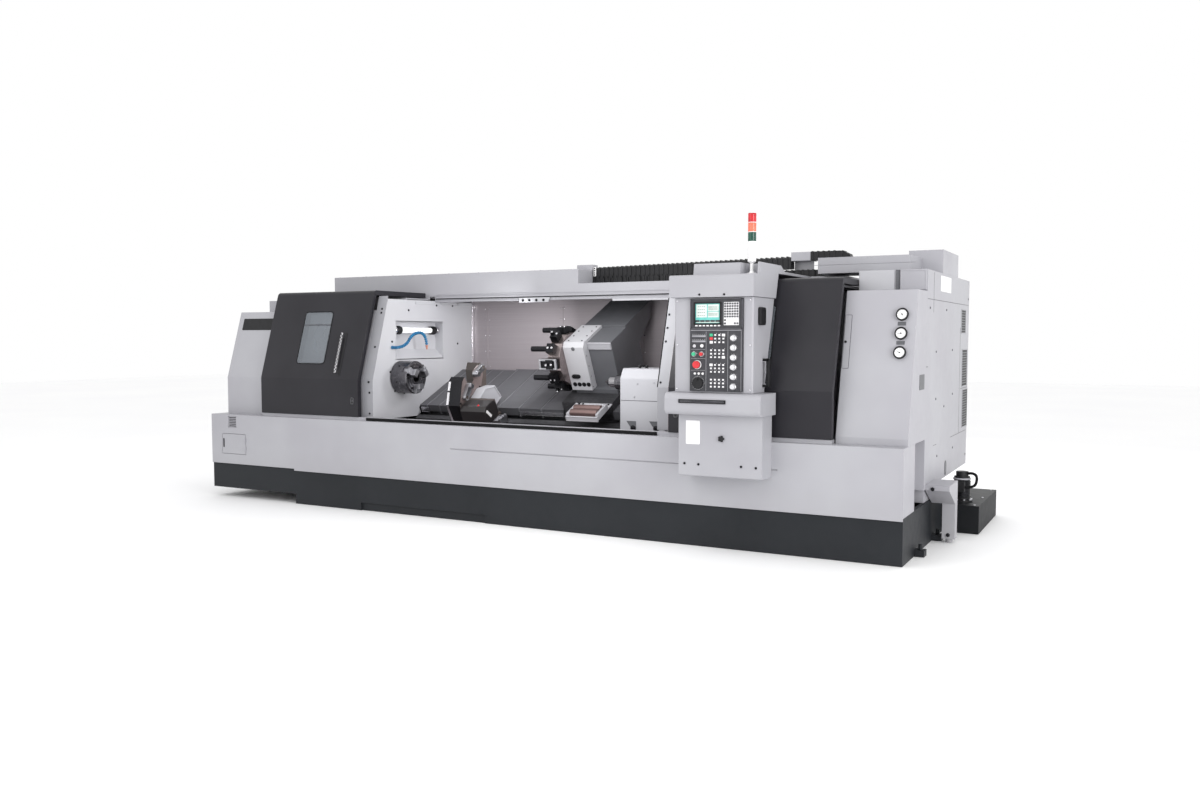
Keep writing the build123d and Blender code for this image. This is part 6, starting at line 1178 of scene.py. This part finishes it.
hatchTall = (hatchHigh.translation - hatchLow.translation).length * 1000
dress(settle(rimFrame(hatch["wide"], hatchTall, 3, 1, corner=6, edge=0.3), hatchMid), "cabinet_hatch_line",
      bezelPlastic)
lockSlot = settle(flatPlate(2.4, 9, 1.2, edge=0.3), Matrix(), out=4.2)
hatchLock = joined([turned([(9, 0), (9, 3), (7, 4.5), (2, 4.5)], 20), lockSlot])
dress(settle(hatchLock, frontOf("right_cabinet", *hatch["lock"])), "cabinet_hatch_lock", blackNylon)

# electrical cabinet: side seams, grilles, plates and screws; front block with a pale sheet as painted
# highlight and a grey column as painted shade, roof unit, leg bolts
cabinet = {
    "side": 6700,
    "seams": [(1660, 1845, 1860, 4), (745, 1345, 60, 5), (2400, 1120, 350, 4), (1107, 735, 120, 4),
              (2180, 737, 780, 4), (2180, 1190, 4, 910), (960, 1900, 4, 300)],
    "vents": [(2216, 2427, 1601, 1797), (2287, 2543, 1138, 1453), (2333, 2593, 777, 1103)],
    "plates": [("right_cabinet", 565, 1239, 172, 110, slideCoat),
               ("electrical_cabinet", 1458, 1979, 440, 122, whitePlastic)],
    "screws": [(1087, 1452), (1793, 1458), (1109, 1089), (1837, 1094), (1457, 1013), (1200, 640), (1900, 640),
               (820, 1780), (1500, 1780), (2560, 1900), (2560, 520)],
    "slot": (1580, 505), "sheetHeight": 1985, "roofFront": (6182, 2122), "roofBack": (6450, 4000, 2150),
    "legBolts": ((6754, 440), (6826, 60)),
}
cabinetSide = rightAt(cabinet["side"], 0, 0)
seamSet("cabinet_side_seams", cabinetSide, cabinet["seams"])
for step, (near, far, bottom, top) in enumerate(cabinet["vents"]):
    ventPlace = rightAt(cabinet["side"], (near + far) / 2, (bottom + top) / 2)
    ventGrille("cabinet_vent_" + str(step + 1), ventPlace, far - near, top - bottom, 22)
for step, (carrier, y, z, wide, tall, finish) in enumerate(cabinet["plates"]):
    plate = pressedPlate(wide, tall, 2, 5, 0.4, corner=6, edge=0.6)
    platePlace = seated(carrier, (7400, y, z), (-1, 0, 0))
    dress(settle(plate, platePlace), "side_plate_" + str(step + 1), finish, slot="light_paint")
fasten("cabinet_side_screws", 9, 4, spots(cabinetSide, cabinet["screws"]), slideCoat)
sideSlot = pressedPlate(70, 120, 3, 6, -1.5, corner=32, edge=1)
dress(settle(sideSlot, cabinetSide, *cabinet["slot"]), "cabinet_side_slot", slideCoat)
# pale sheet: painted highlight of a shiny recess; grey column: painted shade in the gap beside the front
# block
frontSheets = [
    ("cabinet_front_highlight_sheet", 6330, 262, 2, 4, 0.3, 0.6, paintedHighlightCoat),
    ("cabinet_front_shade_column", 6485, 26, 10, 4, -1, 2, slideCoat),
    ("cabinet_front_block", 6600, 190, 16, 8, -2, 3, lightCoat),
]
for name, x, wide, thick, rim, press, edge, finish in frontSheets:
    sheet = pressedPlate(wide, 150, thick, rim, press, edge=edge)
    dress(settle(sheet, frontOf("electrical_cabinet", x, cabinet["sheetHeight"])), name, finish)
seamSet("roof_front_seam", frontOf("roof_unit", *cabinet["roofFront"]), [(0, 4, 780, 3)], shadedLightCoat)
ventGrille("roof_vent", seated("roof_unit", cabinet["roofBack"], (0, -1, 0)), 380, 110, 18)
legBolt = turned([(16, 0), (16, 4), (13, 6), (13, 12), (10, 14), (2, 14)], 6)
dress(copies(legBolt, [frontOf("cabinet_leg", x, z) for x, z in cabinet["legBolts"]]), "leg_bolts",
      blackSteel)
print("right end dressed")

# cable chain: one link frame, copied along both runs and round the bend, and an upper run up to its bracket
chain = {"pitch": 46, "y": 1380, "wide": 108, "low": 2086, "high": 2236, "start": 3590, "bend": 5876,
         "end": 5650, "half": 40}
upperRun = {"left": 3572, "low": 2104, "rise": 32, "core": 92, "link": 104, "plate": (3594, 1327, 2168),
            "boltOut": 5.4}
link = pressedPlate(14, chain["wide"], 2 * chain["half"], 2, -2, edge=2)
linkPlaces = [topAt(x, chain["y"], chain["low"] - chain["half"])
              for x in range(chain["start"], chain["bend"], chain["pitch"])]
linkPlaces += [topAt(x, chain["y"], chain["high"] - chain["half"])
               for x in range(chain["end"], chain["bend"], chain["pitch"])]
bendMiddle = Matrix.Translation(at(chain["bend"], chain["y"], (chain["low"] + chain["high"]) / 2))
for angle in range(-75, 76, 30):
    turn = Matrix.Rotation(math.radians(90 - angle), 4, "Y")
    linkPlaces.append(bendMiddle @ turn @ Matrix.Translation((0, 0, 0.035)))
dress(copies(link, linkPlaces), "chain_links", blackNylon)
bracketLeft = seated("rear_enclosure", (4600, chain["y"], 2240), (1, 0, 0)).translation.x * 1000 + 3350
runStart = at(upperRun["left"], chain["y"], upperRun["low"])
runEnd = at(bracketLeft - 2, chain["y"], upperRun["low"] + upperRun["rise"])
runLong = (runEnd - runStart).length * 1000
runPlace = facing((runStart + runEnd) / 2, runEnd - runStart, (0, 1, 0))
runCore = pressedPlate(runLong, chain["wide"] - 12, upperRun["core"], 16, -18, edge=2)
dress(settle(runCore, runPlace), "chain_upper_core", blackNylon)
upperLink = pressedPlate(14, chain["wide"], upperRun["link"], 2, -2, edge=2)
linkCount = int((runLong - 30) / chain["pitch"]) + 1
linkRun = [(step * chain["pitch"] + 24 - runLong / 2, 0) for step in range(linkCount)]
dress(copies(upperLink, spots(runPlace, linkRun)), "chain_upper_links", blackNylon)
endPlate = pressedPlate(26, 84, 5, 1.5, 0.4, corner=3, edge=1)
dress(settle(endPlate, frontAt(*upperRun["plate"])), "chain_end_plate", whitePlastic, slot="light_paint")
endBolts = spots(frontAt(*upperRun["plate"]), [(0, z) for z in (-30, -10, 10, 30)], out=upperRun["boltOut"])
fasten("chain_end_bolts", 6.5, 6, endBolts, blackSteel)

# upper cover: seams and screws on top
upperCover = {"top": 2180, "seams": (1400, 2150, 2900), "screwColumns": range(700, 3500, 350),
              "screwRows": (1090, 1930)}
upperTop = topAt(0, 0, upperCover["top"])
seamSet("upper_seams", upperTop, [(x, 1510, 5, 880) for x in upperCover["seams"]])
upperSpots = [(x, y) for x in upperCover["screwColumns"] for y in upperCover["screwRows"]]
fasten("upper_screws", 8, 4, spots(upperTop, upperSpots), lightCoat)

# coolant pump: ribbed motor, collar, terminal box, bent conduit, flange bolts; screws on the tank lid
pump = {
    "axis": (6815, 1700, 0), "ribs": range(266, 396, 12), "box": (6815, 1636, 352), "flange": 240,
    "flangeBolts": 74,
    "conduit": [(6850, 1614, 352), (6925, 1612, 352), (6945, 1612, 420), (6930, 1640, 458), (6870, 1690, 462),
                (6830, 1700, 440)],
    "lidColumns": (6740, 6940), "lidRows": (1530, 1960, 2440),
}
pumpAxis = topAt(*pump["axis"])
ribs = [(64, 262)]
for rise in pump["ribs"]:
    ribs += [(68, rise), (68, rise + 5), (63, rise + 6), (63, rise + 11)]
dress(settle(turned(ribs + [(64, 402)], 36), pumpAxis), "pump_ribs", blackSteel, smooth=25)
pumpCollar = turned([(52, 404), (70, 406), (70, 414), (66, 418), (52, 420)], 36)
dress(settle(pumpCollar, pumpAxis), "pump_collar", lightCoat)
pumpBox = pressedPlate(70, 84, 40, 3, -3, corner=8, edge=4)
dress(settle(pumpBox, frontAt(*pump["box"])), "pump_terminal_box", blackNylon)
dress(pipe(pump["conduit"], 11), "pump_conduit", blackRubber)
flangeBolt = turned([(11, 0), (11, 7), (9, 9), (2, 9)], 6)
flangeRing = boltCircle(pump["flangeBolts"], range(22, 360, 45))
dress(copies(flangeBolt, spots(pumpAxis, flangeRing, out=pump["flange"])), "pump_bolts", groundSteel)
lidGrid = [(x, y) for x in pump["lidColumns"] for y in pump["lidRows"]]
lidSpots = [seated("coolant_tank", (x, y, 600), (0, 0, -1), up=(0, 1, 0)) for x, y in lidGrid]
fasten("tank_lid_screws", 9, 5, lidSpots, groundSteel)
print("top and pump dressed")

# back: panel seams, louvres, screws, cabinet door handle, vent and plate, clipped conduits with their box
back = {
    "seams": (1000, 2000, 3000, 4000, 5000), "louvres": (1500, 3500, 5500), "louvreHeight": 1450,
    "screwColumns": (180, 940, 1060, 1940, 2060, 2940, 3060, 3940, 4060, 4940, 5060, 5900),
    "screwRows": (420, 900, 1850),
    "conduits": ((5950, 500), (5880, 420)), "conduitOut": 26, "clips": (450, 800, 1150, 1500), "boxX": 5915,
    "boxHeight": 1760,
}
cabinetDoor = {"middle": 6475, "handle": (6340, 1240), "vent": 800, "plate": 1640}
backFace = seated("rear_enclosure", (3000, 4000, 1200), (0, -1, 0)).translation.y * 1000 + 740
rear = backAt(0, backFace, 0)
seamSet("back_seams", rear, [(-x, 1150, 6, 1560) for x in back["seams"]])
for x in back["louvres"]:
    ventGrille("back_louvre_" + str(x), backAt(x, backFace, back["louvreHeight"]), 520, 330, 30)
backSpots = [(-x, z) for x in back["screwColumns"] for z in back["screwRows"]]
fasten("back_screws", 9, 5, spots(rear, backSpots), lightCoat)
doorBack = seated("electrical_door", (cabinetDoor["middle"], 4000, 1200),
                  (0, -1, 0)).translation.y * 1000 + 740
doorPlace = backAt(0, doorBack, 0)
handleX, handleZ = cabinetDoor["handle"]
handleLever = settle(pressedPlate(20, 120, 16, 2, -1, corner=6, edge=3), Matrix(), 0, 0, out=2)
handleLock = settle(turned([(11, 0), (11, 8), (8, 10), (2, 10)], 18), Matrix(), 0, -66, out=4)
doorHandle = joined([rimFrame(44, 170, 9, 6, corner=12, edge=2), handleLever, handleLock])
dress(settle(doorHandle, doorPlace, -handleX, handleZ), "electrical_door_handle", blackNylon,
      "electrical_door")
doorVentPlace = backAt(cabinetDoor["middle"], doorBack, cabinetDoor["vent"])
ventGrille("electrical_door_vent", doorVentPlace, 240, 300, 24, "electrical_door")
doorPlate = settle(pressedPlate(120, 60, 1.5, 3, 0.3, corner=4, edge=0.5), doorPlace, -cabinetDoor["middle"],
                   cabinetDoor["plate"])
dress(doorPlate, "electrical_door_plate", whitePlastic, "electrical_door")
conduitY = backFace + back["conduitOut"]
rearRuns = [[(x, conduitY, z) for z in (1700, 900, bend, 360)] for x, bend in back["conduits"]]
dress(joined([pipe(run, 18) for run in rearRuns]), "rear_conduits", blackRubber)
clip = pressedPlate(150, 24, 46, 2, -2, corner=6, edge=4)
dress(copies(clip, spots(rear, [(-back["boxX"], z) for z in back["clips"]])), "rear_conduit_clips",
      groundSteel)
rearBox = workTop(flatPlate(230, 160, 70, corner=8, edge=4), [("in", 3), ("out", -4), ("in", 12), ("out", 3)])
dress(settle(rearBox, backAt(back["boxX"], backFace, back["boxHeight"])), "rear_junction_box", slideCoat)
print("back dressed")

# camera, light and floor
shot = {"place": (4.8116, -7.7212, 1.5601), "tilt": 86.49, "turn": 28.52, "lens": 30.54, "sensor": 36}
deselect()
aim = (math.radians(shot["tilt"]), 0, math.radians(shot["turn"]))
bpy.ops.object.camera_add(location=shot["place"], rotation=aim)
camera = bpy.context.object
camera.data.lens, camera.data.sensor_width = shot["lens"], shot["sensor"]
bpy.context.scene.camera = camera

studio = {
    "overhead": {"place": (0.8, -3.2, 6.5), "aim": (0.4, 0.3, 0.9), "size": 8, "watts": 70},
    "frontLeft": {"place": (-6.5, -7.5, 3.2), "aim": (-0.8, 0, 1.0), "size": 4, "watts": 20},
    "frontRight": {"place": (9.0, -4.5, 2.2), "aim": (3.2, 0, 1.2), "size": 4, "watts": 300},
    "workSpace": {"place": (0.2, -4.6, 3.0), "aim": (0.1, 0.4, 1.2), "size": 3, "watts": 35},
    "workTop": {"place": (1.1, -1.1, 1.95), "aim": (0.3, 0.4, 1.2), "size": 0.7, "watts": 11},
    "workInner": {"place": (-0.2, 0.22, 1.6), "aim": (-1.4, 0.35, 1.5), "size": 0.35, "watts": 8.5},
    "rear": {"place": (1.0, 7.5, 4.0), "aim": (0, 1, 1.2), "size": 6, "watts": 120},
}
for name, lamp in studio.items():
    deselect()
    aim = (Vector(lamp["aim"]) - Vector(lamp["place"])).to_track_quat("-Z", "Y").to_euler()
    bpy.ops.object.light_add(type="AREA", location=lamp["place"], rotation=aim)
    light = bpy.context.object
    light.name = name
    light.data.size = lamp["size"]
    light.data.energy = lamp["watts"]
world = bpy.data.worlds.new("studio white")
world.use_nodes = True
backdrop = world.node_tree.nodes["Background"]
backdrop.inputs["Color"].default_value = linear("#FFFFFF")
backdrop.inputs["Strength"].default_value = 1.0
bpy.context.scene.world = world
bpy.context.scene.view_settings.view_transform = "Standard"
deselect()
bpy.ops.mesh.primitive_plane_add(size=60, location=(0, 0, -0.002))
floor = bpy.context.object
floor.name = "floor"
floorFinish, tree, shader, where = newFinish("studio paper, white", {"Roughness": 0.7})
cloud = addNode(tree, "TexNoise", {"Scale": 0.4, "Detail": 2}, {"Vector": where})
tone = addNode(tree, "ValToRGB", {"stops": [(0.3, "#FAFAFB"), (0.7, "#FDFDFD")]},
               {"Fac": cloud.outputs["Fac"]})
tree.links.new(tone.outputs[0], shader.inputs["Base Color"])
floor.data.materials.append(floorFinish)
print("camera, lights and floor set")
